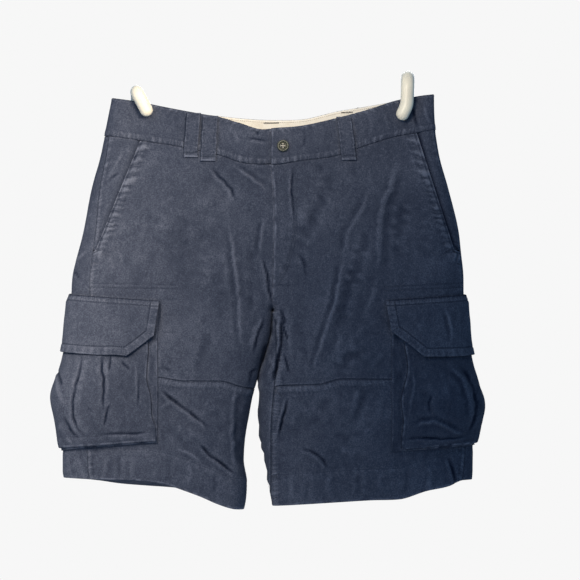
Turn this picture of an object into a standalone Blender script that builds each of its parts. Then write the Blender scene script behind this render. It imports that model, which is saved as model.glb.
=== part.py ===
"""Cargo shorts held up by two wall hooks, built from the pieces that a maker cuts and sews.

Metres, +Z up, the wearer's front towards -Y. "right" and "left" are the wearer's: right is at -X.
The origin lies in the wall's plane, midway between the two hooks' wall plates.

The cloth is laid on one surface, the hanging garment. A point of it is (u, z): u is the distance from
the fold at the garment's outer side, positive round the front and negative round the back, and z is
the height. A piece is a grid of such points between its four seams, and a layer
offset from the surface gives it its wall.
"""

import math

import bmesh
import bpy
import numpy as np
from mathutils import Vector

# ---- driving dimensions, metres -------------------------------------------------------------
GAP = 0.0003  # clearance at a seam
SEWN_ON = 0.0013  # clearance under what is sewn on round the side fold
SEWN_FLAT = 0.0005  # and under what is sewn on where the cloth lies flat
TWILL = 0.0015  # wall of a panel
WAIST_OUTER = 0.0008  # how far the doubled waistband stands out from the panels
WAIST_WALL = 0.0028
MIDDLE_Y = -0.056  # plane of the side folds; the wall is at y = 0
JUNCTION_Z = -0.270  # where fly, crotch seam and inseams meet, at the front
CENTRE_X = -0.0022  # centre back seam
WAISTBAND = 0.052  # height of the waistband
SIDE_TO_BACK = 0.040  # its seam runs from the front's height to the back's over this much
PINCH_X = 0.192  # where the hooks hold the front and back together

INSEAM_LEFT_X = 0.0035  # the left leg's inseam shows just inside its inner fold
INSEAM_HIDDEN = 0.010  # the right leg's lies this far behind its inner fold
CROTCH_RISE = 0.5  # slope of the hollow that the seams make above the junction
WAIST_FROM, WAIST_OVER = -0.100, 0.070  # the waist's own shape comes in over this height
PINCH, PINCH_WIDTH = 0.42, 0.040  # share of its depth that the waist loses at a hook
OPEN_WIDTH, OPEN_FRONT, OPEN_BACK = 0.115, 0.014, 0.007  # it stands open between the hooks
SPLIT_FROM, SPLIT_OVER, SPLIT_CROWN = -0.12, 0.15, 0.22  # each leg is rounder than the hips
# Heights at which the ends of the side seams, knee seams and hems are looked up.
SIDE_TOP_Z, KNEE_SIDE_Z, HEM_SIDE_Z = -0.02, -0.37, -0.515
KNEE_INNER_Z, HEM_INNER_Z = -0.386, -0.55

# Height, outer fold of the right and left side, depth of the front and the back from MIDDLE_Y,
# and how far in from the fold the cloth takes to turn flat.
BODY_COLUMNS = ("z", "right", "left", "front", "back", "reach")
BODY = (
    (0.045, -0.2340, 0.2313, 0.0090, 0.0080, 0.016),
    (0.000, -0.2430, 0.2327, 0.0130, 0.0110, 0.022),
    (-0.045, -0.2525, 0.2392, 0.0210, 0.0170, 0.032),
    (-0.095, -0.2661, 0.2530, 0.0270, 0.0230, 0.040),
    (-0.154, -0.2777, 0.2675, 0.0310, 0.0270, 0.046),
    (-0.197, -0.2878, 0.2719, 0.0325, 0.0285, 0.048),
    (-0.241, -0.2951, 0.2748, 0.0330, 0.0295, 0.048),
    (-0.299, -0.2955, 0.2735, 0.0330, 0.0300, 0.048),
    (-0.340, -0.2970, 0.2740, 0.0330, 0.0300, 0.048),
    (-0.386, -0.3000, 0.2800, 0.0325, 0.0300, 0.046),
    (-0.458, -0.3065, 0.2878, 0.0320, 0.0300, 0.044),
    (-0.502, -0.3075, 0.2875, 0.0310, 0.0300, 0.042),
    (-0.531, -0.3010, 0.2850, 0.0305, 0.0300, 0.042),
    (-0.575, -0.2990, 0.2840, 0.0300, 0.0300, 0.042),
)
# Height, inner fold of the right and left leg, and how far out from it the cloth takes to turn.
LEGS_COLUMNS = ("z", "right", "left", "reach")
LEGS = (
    (-0.270, -0.0024, -0.0020, 0.010),
    (-0.305, -0.0060, -0.0048, 0.011),
    (-0.336, -0.0142, -0.0130, 0.014),
    (-0.368, -0.0247, -0.0234, 0.018),
    (-0.386, -0.0297, -0.0228, 0.022),
    (-0.415, -0.0355, -0.0254, 0.024),
    (-0.458, -0.0428, -0.0225, 0.024),
    (-0.487, -0.0442, -0.0152, 0.024),
    (-0.516, -0.0399, -0.0109, 0.024),
    (-0.545, -0.0413, -0.0045, 0.024),
    (-0.575, -0.0480, 0.0010, 0.024),
)
# The waistband sags between the hooks, more at the front than at the back.
WAIST_COLUMNS = ("x", "front_top", "front_seam", "back_top")
WAIST = (
    (-0.240, 0.0385, -0.0174, 0.0385),
    (-0.201, 0.0332, -0.0232, 0.0322),
    (-0.150, 0.0230, -0.0310, 0.0222),
    (-0.105, 0.0145, -0.0400, 0.0150),
    (-0.079, 0.0098, -0.0458, 0.0120),
    (-0.050, 0.0012, -0.0556, 0.0090),
    (-0.018, -0.0075, -0.0592, 0.0068),
    (0.000, -0.0062, -0.0590, 0.0064),
    (0.037, -0.0030, -0.0540, 0.0072),
    (0.089, 0.0083, -0.0466, 0.0185),
    (0.138, 0.0218, -0.0298, 0.0268),
    (0.173, 0.0334, -0.0190, 0.0330),
    (0.208, 0.0406, -0.0125, 0.0402),
    (0.240, 0.0445, -0.0065, 0.0445),
)
# Hems, from the outer fold to the inner one: x, the front hem's height, the back hem's.
HEM_COLUMNS = ("x", "front", "back")
RIGHT_HEM = (
    (-0.302, -0.5148, -0.5148),
    (-0.256, -0.5162, -0.5185),
    (-0.227, -0.5162, -0.5225),
    (-0.188, -0.5177, -0.5255),
    (-0.159, -0.5220, -0.5270),
    (-0.128, -0.5322, -0.5290),
    (-0.105, -0.5409, -0.5320),
    (-0.082, -0.5510, -0.5370),
    (-0.057, -0.5583, -0.5430),
    (-0.041, -0.5590, -0.5480),
)
LEFT_HEM = (
    (-0.005, -0.5539, -0.5480),
    (0.046, -0.5510, -0.5450),
    (0.092, -0.5481, -0.5400),
    (0.140, -0.5452, -0.5360),
    (0.180, -0.5440, -0.5320),
    (0.220, -0.5322, -0.5260),
    (0.254, -0.5249, -0.5200),
    (0.270, -0.5177, -0.5177),
    (0.287, -0.5165, -0.5165),
)
# The visible edge of the fly, and the seam below it down to the junction.
FLY_COLUMNS = ("z", "x")
FLY = (
    (0.000, -0.0072),
    (-0.0595, -0.0040),
    (-0.0885, -0.0010),
    (-0.1247, 0.0008),
    (-0.1827, 0.0000),
    (-0.2400, -0.0015),
    (-0.2700, -0.0022),
)
# Side seams: height, and u on the right and the left half. They lie a little to the front.
SIDE_SEAM_COLUMNS = ("z", "right", "left")
SIDE_SEAM = (
    (-0.015, 0.0110, 0.0050),
    (-0.120, 0.0280, 0.0070),
    (-0.230, 0.0390, 0.0090),
    (-0.380, 0.0450, 0.0150),
    (-0.520, 0.0500, 0.0250),
)
# Seam across each leg above the hem: x and z.
KNEE_COLUMNS = ("x", "z")
RIGHT_KNEE = (
    (-0.300, -0.3650),
    (-0.170, -0.3669),
    (-0.130, -0.3727),
    (-0.079, -0.3727),
    (-0.050, -0.3799),
    (-0.025, -0.3843),
)
LEFT_KNEE = (
    (-0.020, -0.3805),
    (0.008, -0.3785),
    (0.066, -0.3770),
    (0.097, -0.3696),
    (0.169, -0.3700),
    (0.290, -0.3670),
)
# Slanted front pocket mouths: top and bottom end, on the front.
MOUTHS = {
    "right": ((-0.1950, -0.0232), (-0.2603, -0.1856)),
    "left": ((0.2066, -0.0160), (0.2620, -0.1856)),
}
# Large folds, a row each: x and z of the start, x and z of the end, half width, and height, which
# is above 0 for a ridge and below 0 for a trough.
FRONT_FOLDS = (
    (-0.0906, -0.0700, -0.0573, -0.1150, 0.016, -0.0035),
    (-0.0616, -0.0640, -0.0065, -0.1000, 0.014, 0.0025),
    (-0.2342, -0.1827, -0.2240, -0.2100, 0.014, -0.0030),
    (-0.0718, -0.1682, -0.0500, -0.4002, 0.024, 0.0045),
    (-0.1617, -0.3886, -0.1008, -0.4365, 0.018, -0.0050),
    (-0.1500, -0.4200, -0.1000, -0.4560, 0.020, 0.0040),
    (-0.1008, -0.4698, -0.0573, -0.5046, 0.018, -0.0045),
    (0.1022, -0.1972, 0.0515, -0.3712, 0.026, 0.0050),
    (0.1457, -0.2190, 0.1095, -0.2987, 0.022, -0.0045),
    (0.0805, -0.3857, 0.0225, -0.4582, 0.020, -0.0040),
    (0.0700, -0.4500, 0.0550, -0.5300, 0.024, 0.0035),
    (0.1500, -0.0800, 0.1650, -0.2000, 0.030, 0.0030),
    (-0.1500, -0.0800, -0.1400, -0.2200, 0.034, 0.0025),
)
BACK_FOLDS = (
    (-0.1100, -0.0800, -0.0500, -0.2000, 0.030, -0.0035),
    (0.1200, -0.0750, 0.0600, -0.2100, 0.032, -0.0035),
    (-0.0400, -0.2200, -0.1200, -0.3300, 0.028, 0.0040),
    (0.0450, -0.2300, 0.1300, -0.3300, 0.028, 0.0040),
    (-0.1700, -0.3600, -0.1500, -0.5000, 0.034, 0.0040),
    (0.1600, -0.3500, 0.1500, -0.5000, 0.034, 0.0035),
    (-0.0950, -0.4000, -0.0800, -0.5200, 0.026, -0.0040),
    (0.0900, -0.3900, 0.0700, -0.5000, 0.026, -0.0040),
)
# Cargo pockets: x of the sewn front edge, and heights of the flap's seam and the bag's lower
# edge, each at the front edge and at the side fold.
POCKET_COLUMNS = ("half", "front_x", "top_front", "top_side", "bottom_front", "bottom_side",
                  "flap_taper")  # fmt: skip
POCKETS = (
    ("right", -0.1690, -0.2581, -0.2480, -0.4615, -0.4730, 0.008),
    ("left", 0.1700, -0.2567, -0.2480, -0.4720, -0.4660, 0.014),
)
POCKET_MIDDLE_Z = -0.36
POCKET_BACK_U = -0.050  # where the bag is sewn down at the back
ROUND_FOLD = 0.060  # half width of the side fold's turn, along u
BAG_INSET = (0.0135, 0.0030, 0.0100)  # the gusset's width along the front, the foot and the back
BAG_MOUTH = 0.012  # the bag's open edge is this far below the flap's seam
GUSSET_LEAN = 0.62  # share of its rise that the gusset has made halfway
BAG_STAND = 0.0040  # the bag's face stands off the leg by this much at its edge,
BAG_CROWN = 0.0145  # and by this much more where it is fullest,
BAG_FULL = 0.70  # which is this share of the way down
BULGE_RISE, BULGE_DOWN = 0.0085, 0.66  # a fold of the bag stands out at the leg's outer side
BULGE_WIDTH, BULGE_HEIGHT = 0.026, 0.15
PLEAT_RISE = 0.0014  # the box pleat stands proud of the face
PLEAT_STEP = 0.0025
PLEATS = (0.078, 0.116)  # its edges' distances from the bag's sewn front edge
FLAP_HEIGHT = 0.079
FLAP_CLIP = (0.041, 0.031)  # each lower corner is cut off, across and up
FLAP_TAPERED = 0.080  # the flap's front edge leans back, and the cloth this far from it with it
FLAP_WALL = 0.0020
FLAP_OVER = 0.0013  # clearance between the flap and the bag's face
FLAP_PAST = 0.003  # the flap is this much wider than the bag at each end
# Belt loops: name, half, face, x of the middle at the top and the bottom, width. Each is a strap
# from the waistband's top edge to below its seam.
LOOP_COLUMNS = ("name", "half", "face", "x_top", "x_bottom", "width")
LOOPS = (
    ("front_right_outer", "right", "front", -0.1170, -0.1210, 0.0205),
    ("front_right_inner", "right", "front", -0.0925, -0.0955, 0.0225),
    ("front_left", "left", "front", 0.1000, 0.1080, 0.0215),
    ("back_right", "right", "back", -0.1250, -0.1250, 0.0215),
    ("back_centre", "left", "back", 0.0110, 0.0110, 0.0215),
    ("back_left", "left", "back", 0.1300, 0.1300, 0.0215),
)
LOOP_ROWS = 8
LOOP_WALL = 0.0016
LOOP_SLACK = 0.0034  # it stands off the waistband by this much where it is loosest
LOOP_SEWN = 0.85  # share of its length from which it is sewn down
LOOP_BELOW_TOP = 0.001
LOOP_STEP = 0.006  # it steps down off the waistband this far below the seam
LOOP_DROP = 0.0120  # how far it reaches below the waistband's seam
# The waistband's right end runs on under the left one, and the zip closes the fly behind it.
UNDERLAP = 0.036
LAP_DROP = 0.0035  # it goes in by this much,
LAP_FROM, LAP_RUN = -0.0420, 0.0300  # from this x on, over this much
LAP_CLEAR = 0.006  # least distance from LAP_FROM to the column before it
LAP_COLUMNS = 9
BAND_TOP_Z = 0.02  # near the waistband's top edge
ZIP_X = (-0.012, 0.018)
ZIP_BELOW_SEAM, ZIP_BOTTOM_Z = 0.002, -0.225
ZIP_BEHIND = 0.0008  # clearance behind the fly
ZIP_WALL = 0.0012
LINING_WALL = 0.0010
LINING_SHORT = 0.004  # it ends this far above the seam
LINING_END_U = -0.030
# Button, on the waistband's left end.
BUTTON_X, BUTTON_Z = 0.0123, -0.0326
BUTTON_RADIUS, BUTTON_THICK, BUTTON_EDGE = 0.0087, 0.0034, 0.0009
BUTTON_WELL, BUTTON_DISH = 0.0056, 0.0013  # its hollow middle: radius and depth
BUTTON_HOLE_RADIUS, BUTTON_HOLE_RING = 0.0008, 0.0019
# Hooks: a round rod from a wall plate, up behind the waistband, over it and down in front.
HOOK_RADIUS = 0.0096
HOOK_BEND, HOOK_KNEE = 0.014, 0.030  # radii of the bend behind and of the one in front
HOOK_OFF = 0.0004  # the front end stands off the cloth by this much more
HOOK_TIP = 0.06  # the rounded tip ends in a flat of this share of the rod's radius
HOOK_BEHIND = (-0.016, -0.004, 0.010, 0.030)  # heights where it passes the back of the waist
PLATE_RADIUS, PLATE_THICK = 0.024, 0.006
PLATE_Z = -0.004
HOOK_COLUMNS = ("side", "x_back", "x_top", "x_front", "x_tip", "z_top", "z_bend", "z_tip")
HOOKS = (
    ("right", -0.1995, -0.1995, -0.1935, -0.1850, 0.0560, 0.0350, 0.0102),
    ("left", 0.1935, 0.1935, 0.1915, 0.1850, 0.0775, 0.0270, 0.0044),
)

NAVY = (0.047, 0.056, 0.084)
CREAM = (0.72, 0.64, 0.50)
HORN = (0.060, 0.052, 0.034)
ZIP_COLOUR = (0.20, 0.20, 0.22)
PAINT = (0.80, 0.76, 0.66)


# ---- curves and tables ----------------------------------------------------------------------
def column(table, names, name):
    return np.array([row[names.index(name)] for row in table], float)


def curve(xs, ys):
    """A smooth function through points that never overshoots them (monotone cubic)."""
    order = np.argsort(xs)
    xs, ys = np.asarray(xs, float)[order], np.asarray(ys, float)[order]
    step, rise = np.diff(xs), np.diff(ys)
    slope = rise / step
    tangent = np.concatenate([[slope[0]], (slope[1:] + slope[:-1]) / 2, [slope[-1]]])
    turns = np.concatenate([[False], slope[1:] * slope[:-1] <= 0, [False]])
    tangent[turns] = 0
    for i, s in enumerate(slope):
        limit = 3 * abs(s)
        tangent[i] = np.clip(tangent[i], -limit, limit)
        tangent[i + 1] = np.clip(tangent[i + 1], -limit, limit)

    def at(x):
        x = np.clip(x, xs[0], xs[-1])
        i = np.clip(np.searchsorted(xs, x) - 1, 0, len(step) - 1)
        q, h = (x - xs[i]) / step[i], step[i]
        return (
            ys[i] * (1 + 2 * q) * (1 - q) ** 2
            + ys[i + 1] * q * q * (3 - 2 * q)
            + h * tangent[i] * q * (1 - q) ** 2
            - h * tangent[i + 1] * q * q * (1 - q)
        )

    return at


def table_curve(table, names, key, name):
    return curve(column(table, names, key), column(table, names, name))


def ramp(q):
    """Smooth step: 0 below 0, 1 above 1."""
    q = np.clip(q, 0, 1)
    return q * q * (3 - 2 * q)


def mix(a, b, q):
    return a + (b - a) * q


def bump(x, centre, half_width):
    return np.exp(-(((x - centre) / half_width) ** 2))


# ---- the hanging garment's surface ------------------------------------------------------------
front_depth = table_curve(BODY, BODY_COLUMNS, "z", "front")
back_depth = table_curve(BODY, BODY_COLUMNS, "z", "back")
side_reach = table_curve(BODY, BODY_COLUMNS, "z", "reach")
inner_reach = table_curve(LEGS, LEGS_COLUMNS, "z", "reach")
side_x = {h: table_curve(BODY, BODY_COLUMNS, "z", h) for h in ("right", "left")}
inner_x = {h: table_curve(LEGS, LEGS_COLUMNS, "z", h) for h in ("right", "left")}
front_top = table_curve(WAIST, WAIST_COLUMNS, "x", "front_top")
front_seam = table_curve(WAIST, WAIST_COLUMNS, "x", "front_seam")
back_top = table_curve(WAIST, WAIST_COLUMNS, "x", "back_top")
fly_x = table_curve(FLY, FLY_COLUMNS, "z", "x")
side_seam = {
    h: table_curve(SIDE_SEAM, SIDE_SEAM_COLUMNS, "z", h) for h in ("right", "left")
}
knee_z = {
    "right": table_curve(RIGHT_KNEE, KNEE_COLUMNS, "x", "z"),
    "left": table_curve(LEFT_KNEE, KNEE_COLUMNS, "x", "z"),
}
hem_z = {
    (half, face): table_curve(table, HEM_COLUMNS, "x", face)
    for half, table in (("right", RIGHT_HEM), ("left", LEFT_HEM))
    for face in ("front", "back")
}


def back_seam(x):
    return back_top(x) - WAISTBAND


def folds(x, z, table):
    """Height of the large folds: each a soft ridge or trough that fades out at its ends."""
    total = 0.0
    for x0, z0, x1, z1, width, height in table:
        dx, dz = x1 - x0, z1 - z0
        along = ((x - x0) * dx + (z - z0) * dz) / (dx * dx + dz * dz)
        off = ((x - x0) * dz - (z - z0) * dx) / math.hypot(dx, dz)
        fade = ramp((along + 0.15) / 0.4) * ramp((1.15 - along) / 0.4)
        total = total + height * fade * np.exp(-((off / width) ** 2))
    return total


def depth(face, x, z):
    """How far the front or the back stands off MIDDLE_Y, away from the folds at the edges."""
    level = ramp((z - WAIST_FROM) / WAIST_OVER)
    hooks = bump(x, -PINCH_X, PINCH_WIDTH) + bump(x, PINCH_X, PINCH_WIDTH)
    pinch = 1 - PINCH * hooks * level
    opening = bump(x, 0, OPEN_WIDTH) * level
    if face == "front":
        return front_depth(z) * pinch + OPEN_FRONT * opening + folds(x, z, FRONT_FOLDS)
    return back_depth(z) * pinch + OPEN_BACK * opening + folds(x, z, BACK_FOLDS)


def turn(distance, reach):
    """Rise of a rounded edge: 0 at the fold, 1 where the cloth has turned flat."""
    q = np.clip(distance / reach, 0, 1)
    return np.sqrt(1 - (1 - q) ** 2)


class Half:
    """One half of the garment: half the hips, and one leg."""

    TURN = 1 - np.cos(np.linspace(0, math.pi / 2, 12))
    BEYOND = 0.060  # how far past the centre the hips' surface is known

    def __init__(self, name):
        self.name = name
        self.sign = -1 if name == "right" else 1
        self.rings = {}

    def width(self, z):
        inner = inner_x[self.name](z) if z <= JUNCTION_Z else CENTRE_X
        return self.sign * (side_x[self.name](z) - inner)

    def face_line(self, face, z):
        """Distances in from the side fold, and the points of the cloth there, for one face."""
        wide, reach = self.width(z), side_reach(z)
        if z <= JUNCTION_Z:
            end = inner_reach(z)
            flat = np.linspace(reach, wide - end, 26)[1:-1]
            at = np.concatenate([reach * self.TURN, flat, (wide - end * self.TURN)[::-1]])
            inner = turn(wide - at, end)
        else:
            at = np.concatenate(
                [reach * self.TURN, np.linspace(reach, wide + self.BEYOND, 36)[1:]]
            )
            off_centre = self.sign * (side_x[self.name](z) - CENTRE_X) - at
            hollow = np.hypot(off_centre, CROTCH_RISE * (z - JUNCTION_Z))
            inner = turn(hollow, inner_reach(JUNCTION_Z))
        x = side_x[self.name](z) - self.sign * at
        split = ramp((SPLIT_FROM - z) / SPLIT_OVER)
        crown = 1 - SPLIT_CROWN * split * (2 * np.clip(at / wide, 0, 1) - 1) ** 2
        off = depth(face, x, z) * turn(at, reach) * inner * crown
        return at, x, MIDDLE_Y + (off if face == "back" else -off)

    def measured(self, face, z):
        """u, x and y along one face: the cloth's length round the side fold, then along x."""
        at, x, y = self.face_line(face, z)
        u = np.append(0, np.cumsum(np.hypot(np.diff(x), np.diff(y))))
        turned = len(self.TURN) - 1
        u[turned:] = u[turned] + at[turned:] - at[turned]
        return u, x, y

    def ring(self, z, first):
        """u, x and y along one face, and below the junction round the leg's other face too."""
        key = (round(float(z), 7), first)
        if key not in self.rings:
            u, x, y = self.measured(first, z)
            if z <= JUNCTION_Z:
                u2, x2, y2 = self.measured("back" if first == "front" else "front", z)
                u = np.append(u, u[-1] + u2[-1] - u2[-2::-1])
                x, y = np.append(x, x2[-2::-1]), np.append(y, y2[-2::-1])
            self.rings[key] = u, x, y
        return self.rings[key]

    def point(self, u, z):
        along, x, y = self.ring(z, "front" if u >= 0 else "back")
        return np.array([np.interp(abs(u), along, x), np.interp(abs(u), along, y), z])

    def normal(self, u, z):
        """Outward, from the surface just around the point."""
        d = 0.0012
        low = z - d if z - d > JUNCTION_Z or z <= JUNCTION_Z else z
        high = z + d if z > JUNCTION_Z or z + d <= JUNCTION_Z else z
        across = self.point(u + d, z) - self.point(u - d, z)
        up = self.point(u, high) - self.point(u, low)
        n = np.cross(up, across) * self.sign
        return n / np.linalg.norm(n)

    def girth(self, z):
        return self.ring(z, "front")[0][-1]

    def u_at(self, face, x, z):
        """u of the point of one face that has this x."""
        at = self.face_line(face, z)[0]
        along = self.ring(z, face)[0][: len(at)]
        u = float(np.interp(self.sign * (side_x[self.name](z) - x), at, along))
        return u if face == "front" else -u

    def u_fold(self, z):
        """u at a leg's inner fold, counted round the front."""
        return self.ring(z, "front")[0][len(self.face_line("front", z)[0]) - 1]


HALVES = {name: Half(name) for name in ("right", "left")}


# ---- seams, as lists of (u, z) ------------------------------------------------------------------
FLY_ROWS, CROTCH_ROWS, LOWER_ROWS = 11, 5, 7  # intervals down a panel
UPPER_ROWS = FLY_ROWS + CROTCH_ROWS
MOUTH_ROWS = 8
TO_FOLD = 0.985  # share of a panel's width before the inner fold, where it ends short of it
FRONT_SPREAD = (0, 0.055, 0.12, 0.20, 0.29, 0.38, 0.47, 0.56, 0.65, 0.74, 0.82, 0.90, 0.96, 1)
BACK_SPREAD = (
    0, 0.035, 0.07, 0.105, 0.14, 0.175, 0.22, 0.30, 0.38, 0.46,
    0.54, 0.62, 0.70, 0.78, 0.86, 0.93, 0.98, 1,
)  # fmt: skip
PAST_FOLD = (0.4, 1)


def inseam_u(half, z):
    """Where the two panels of a leg meet. The right one hides behind the inner fold."""
    fold = half.u_fold(z)
    if half.name == "left":
        seen = half.u_at("front", INSEAM_LEFT_X, z)
        return mix(fold, seen, ramp((JUNCTION_Z - z) / 0.02))
    return mix(fold, fold + INSEAM_HIDDEN, ramp((JUNCTION_Z - z) / 0.06))


def fly_line(half):
    """The centre front, from the waistband's seam down to the junction."""
    edge = half.sign * GAP / 2
    top = float(front_seam(fly_x(-0.06)))
    seam = [
        (half.u_at("front", float(fly_x(z)) + edge, z), z)
        for z in np.linspace(top, JUNCTION_Z, FLY_ROWS + 1)[:-1]
    ]
    return seam + [(inseam_u(half, JUNCTION_Z), JUNCTION_Z)]


def inseam(half, top, bottom, rows):
    return [(inseam_u(half, z), z) for z in np.linspace(top, bottom, rows + 1)]


def mouth_line(half):
    """The slanted pocket mouth, from the waistband's seam down to the side seam."""
    (x0, _), (x1, z1) = MOUTHS[half.name]
    z0 = float(front_seam(x0))
    line = []
    for q in np.linspace(0, 1, MOUTH_ROWS + 1):
        z = mix(z0, z1, q)
        line.append((half.u_at("front", mix(x0, x1, q), z), z))
    line[-1] = (float(side_seam[half.name](z1)), z1)
    return line


def side_line(half, top, bottom, rows):
    return [(float(side_seam[half.name](z)), z) for z in np.linspace(top, bottom, rows + 1)]


def spread_row(half, face, outer, inner):
    """How a panel's columns are shared out between two points: close together at the fold."""
    before = FRONT_SPREAD if face == "front" else BACK_SPREAD
    z = inner[1]
    share = TO_FOLD
    if z < JUNCTION_Z:
        fold = half.u_fold(z) if face == "front" else half.u_fold(z) - half.girth(z)
        share = min(TO_FOLD, (fold - outer[0]) / (inner[0] - outer[0]))
    return [share * q for q in before] + [share + (1 - share) * q for q in PAST_FOLD]


def across(half, start, end, spread, height):
    """A seam across a face from start to end, whose height follows height(x)."""
    line = []
    for q in spread:
        u, z = mix(start[0], end[0], q), mix(start[1], end[1], q)
        for _ in range(3):
            z = float(height(half.point(u, z)[0]))
        line.append((u, z))
    off_start, off_end = start[1] - line[0][1], end[1] - line[-1][1]
    return [
        (u, z + off_start * (1 - q) ** 4 + off_end * q**8)
        for (u, z), q in zip(line, spread, strict=True)
    ]


def patch(top, bottom, outer, inner, spreads):
    """A grid of (u, z) between four seams (a Coons patch); top and bottom run outer to inner."""
    top, bottom = np.array(top, float), np.array(bottom, float)
    grid = []
    for t, left, right, spread in zip(
        np.linspace(0, 1, len(outer)), np.array(outer), np.array(inner), spreads, strict=True
    ):
        q = np.array(spread)[:, None]
        ends = [
            np.column_stack([np.interp(spread, share, line[:, k]) for k in (0, 1)])
            for line, share in ((top, spreads[0]), (bottom, spreads[-1]))
        ]
        corners = mix(mix(top[0], top[-1], q), mix(bottom[0], bottom[-1], q), t)
        grid.append(mix(left, right, q) + mix(ends[0], ends[1], t) - corners)
    return np.array(grid)


def layer(half, grid, level):
    """World points of a grid, moved out from the surface by level, a number or a grid."""
    level = np.broadcast_to(level, grid.shape[:2])
    return [
        [half.point(*uz) + half.normal(*uz) * level[j, i] for i, uz in enumerate(row)]
        for j, row in enumerate(grid)
    ]


# ---- making solids --------------------------------------------------------------------------------
def material(name, colour, roughness, metallic=0.0):
    made = bpy.data.materials.new(name)
    made.use_nodes = True
    shader = made.node_tree.nodes["Principled BSDF"]
    shader.inputs["Base Color"].default_value = (*colour, 1)
    shader.inputs["Roughness"].default_value = roughness
    shader.inputs["Metallic"].default_value = metallic
    return made


def add(collection, name, data, finish):
    made = bpy.data.objects.new(name, data)
    data.materials.append(finish)
    collection.objects.link(made)
    return made


def wall(collection, name, outer, inner, finish):
    """A closed wall of cloth: a flat grid with its far side, laid on two layers of points."""
    rows, columns = len(outer), len(outer[0])
    mesh = bmesh.new()
    bmesh.ops.create_grid(mesh, x_segments=columns - 1, y_segments=rows - 1, size=0.5)
    raised = bmesh.ops.extrude_face_region(mesh, geom=mesh.faces[:])["geom"]
    bmesh.ops.translate(
        mesh, vec=(0, 0, 1), verts=[g for g in raised if isinstance(g, bmesh.types.BMVert)]
    )
    bmesh.ops.recalc_face_normals(mesh, faces=mesh.faces[:])
    for vert in mesh.verts:
        i = round((vert.co.x + 0.5) * (columns - 1))
        j = round((vert.co.y + 0.5) * (rows - 1))
        vert.co = Vector((outer if vert.co.z > 0.5 else inner)[j][i])
    if mesh.calc_volume(signed=True) < 0:
        bmesh.ops.reverse_faces(mesh, faces=mesh.faces[:])
    data = bpy.data.meshes.new(name)
    mesh.to_mesh(data)
    mesh.free()
    made = add(collection, name, data, finish)
    data.shade_smooth()
    data.set_sharp_from_angle(angle=math.radians(40))
    return made


def cloth(collection, name, half, grid, level, thickness, finish):
    """A wall of cloth on one half: level is its outer face's distance from the surface."""
    outer = layer(half, grid, level)
    inner = layer(half, grid, np.asarray(level) - thickness)
    return wall(collection, name, outer, inner, finish)


# ---- panels -----------------------------------------------------------------------------------------
def panels(shorts, half, twill):
    """Front upper and lower, the facing under the slanted mouth, and the back."""
    name = half.name
    z_mouth = MOUTHS[name][1][1]
    side_top = float(front_seam(side_x[name](SIDE_TOP_Z)))
    knee_side = float(knee_z[name](side_x[name](KNEE_SIDE_Z)))
    hem_side = float(hem_z[name, "front"](side_x[name](HEM_SIDE_Z)))
    knee_inner = float(knee_z[name](inner_x[name](KNEE_INNER_Z)))
    hem_inner = float(hem_z[name, "front"](inner_x[name](HEM_INNER_Z)))
    below_mouth = UPPER_ROWS - MOUTH_ROWS

    outer = mouth_line(half) + side_line(half, z_mouth, knee_side, below_mouth)[1:]
    inner = fly_line(half) + inseam(half, JUNCTION_Z, knee_inner, CROTCH_ROWS)[1:]
    spreads = [spread_row(half, "front", a, b) for a, b in zip(outer, inner, strict=True)]
    top = across(half, outer[0], inner[0], spreads[0], front_seam)
    knee = across(half, outer[-1], inner[-1], spreads[-1], knee_z[name])
    upper = patch(top, knee, outer, inner, spreads)
    cloth(shorts, f"front_upper_{name}", half, upper, 0, TWILL, twill)

    low_outer = side_line(half, knee_side, hem_side, LOWER_ROWS)
    low_inner = inseam(half, knee_inner, hem_inner, LOWER_ROWS)
    low_spreads = [
        spread_row(half, "front", a, b) for a, b in zip(low_outer, low_inner, strict=True)
    ]
    hem = across(half, low_outer[-1], low_inner[-1], low_spreads[-1], hem_z[name, "front"])
    lower = patch(knee, hem, low_outer, low_inner, low_spreads)
    lower[0, :, 1] -= GAP
    cloth(shorts, f"front_lower_{name}", half, lower, 0, TWILL, twill)

    # The facing starts level with the back panel at the side seam and dips under the mouth.
    rows = slice(0, MOUTH_ROWS)
    side = np.array(side_line(half, side_top, z_mouth, MOUTH_ROWS))[rows]
    mouth, under = upper[rows, 0], upper[rows, 1]
    facing = np.stack([mix(side, mouth, q) for q in (0, 0.4, 0.75, 1)] + [under], axis=1)
    dip = -(TWILL + GAP) * np.array([0, 0.45, 0.9, 1, 1])
    cloth(shorts, f"pocket_facing_{name}", half, facing, dip, TWILL, twill)

    # The back runs from the side seam, round the outer fold, to the centre back; below the
    # junction it goes on round the inner fold, to the inseam.
    back_outer = (
        side_line(half, side_top, z_mouth, MOUTH_ROWS)
        + side_line(half, z_mouth, knee_side, below_mouth)[1:]
        + side_line(half, knee_side, hem_side, LOWER_ROWS)[1:]
    )
    back_outer = [(u - GAP, z) for u, z in back_outer]
    centre_edge = CENTRE_X + half.sign * GAP / 2
    centre = [
        (half.u_at("back", centre_edge, z), z)
        for z in np.linspace(float(back_seam(CENTRE_X)), JUNCTION_Z, FLY_ROWS + 1)[:-1]
    ]
    seam = inseam(half, JUNCTION_Z, knee_inner, CROTCH_ROWS) + low_inner[1:]
    back_inner = centre + [(-(half.girth(z) - u - GAP), z) for u, z in seam]
    spreads = [
        spread_row(half, "back", a, b) for a, b in zip(back_outer, back_inner, strict=True)
    ]
    waist = across(half, back_outer[0], back_inner[0], spreads[0], seam_round(half))
    hem = across(half, back_outer[-1], back_inner[-1], spreads[-1], hem_z[name, "back"])
    back = patch(waist, hem, back_outer, back_inner, spreads)
    cloth(shorts, f"back_{name}", half, back, 0, TWILL, twill)
    return [tuple(uz) for uz in (*back[0, ::-1], *facing[0, 1:-2], *upper[0])]


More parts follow.
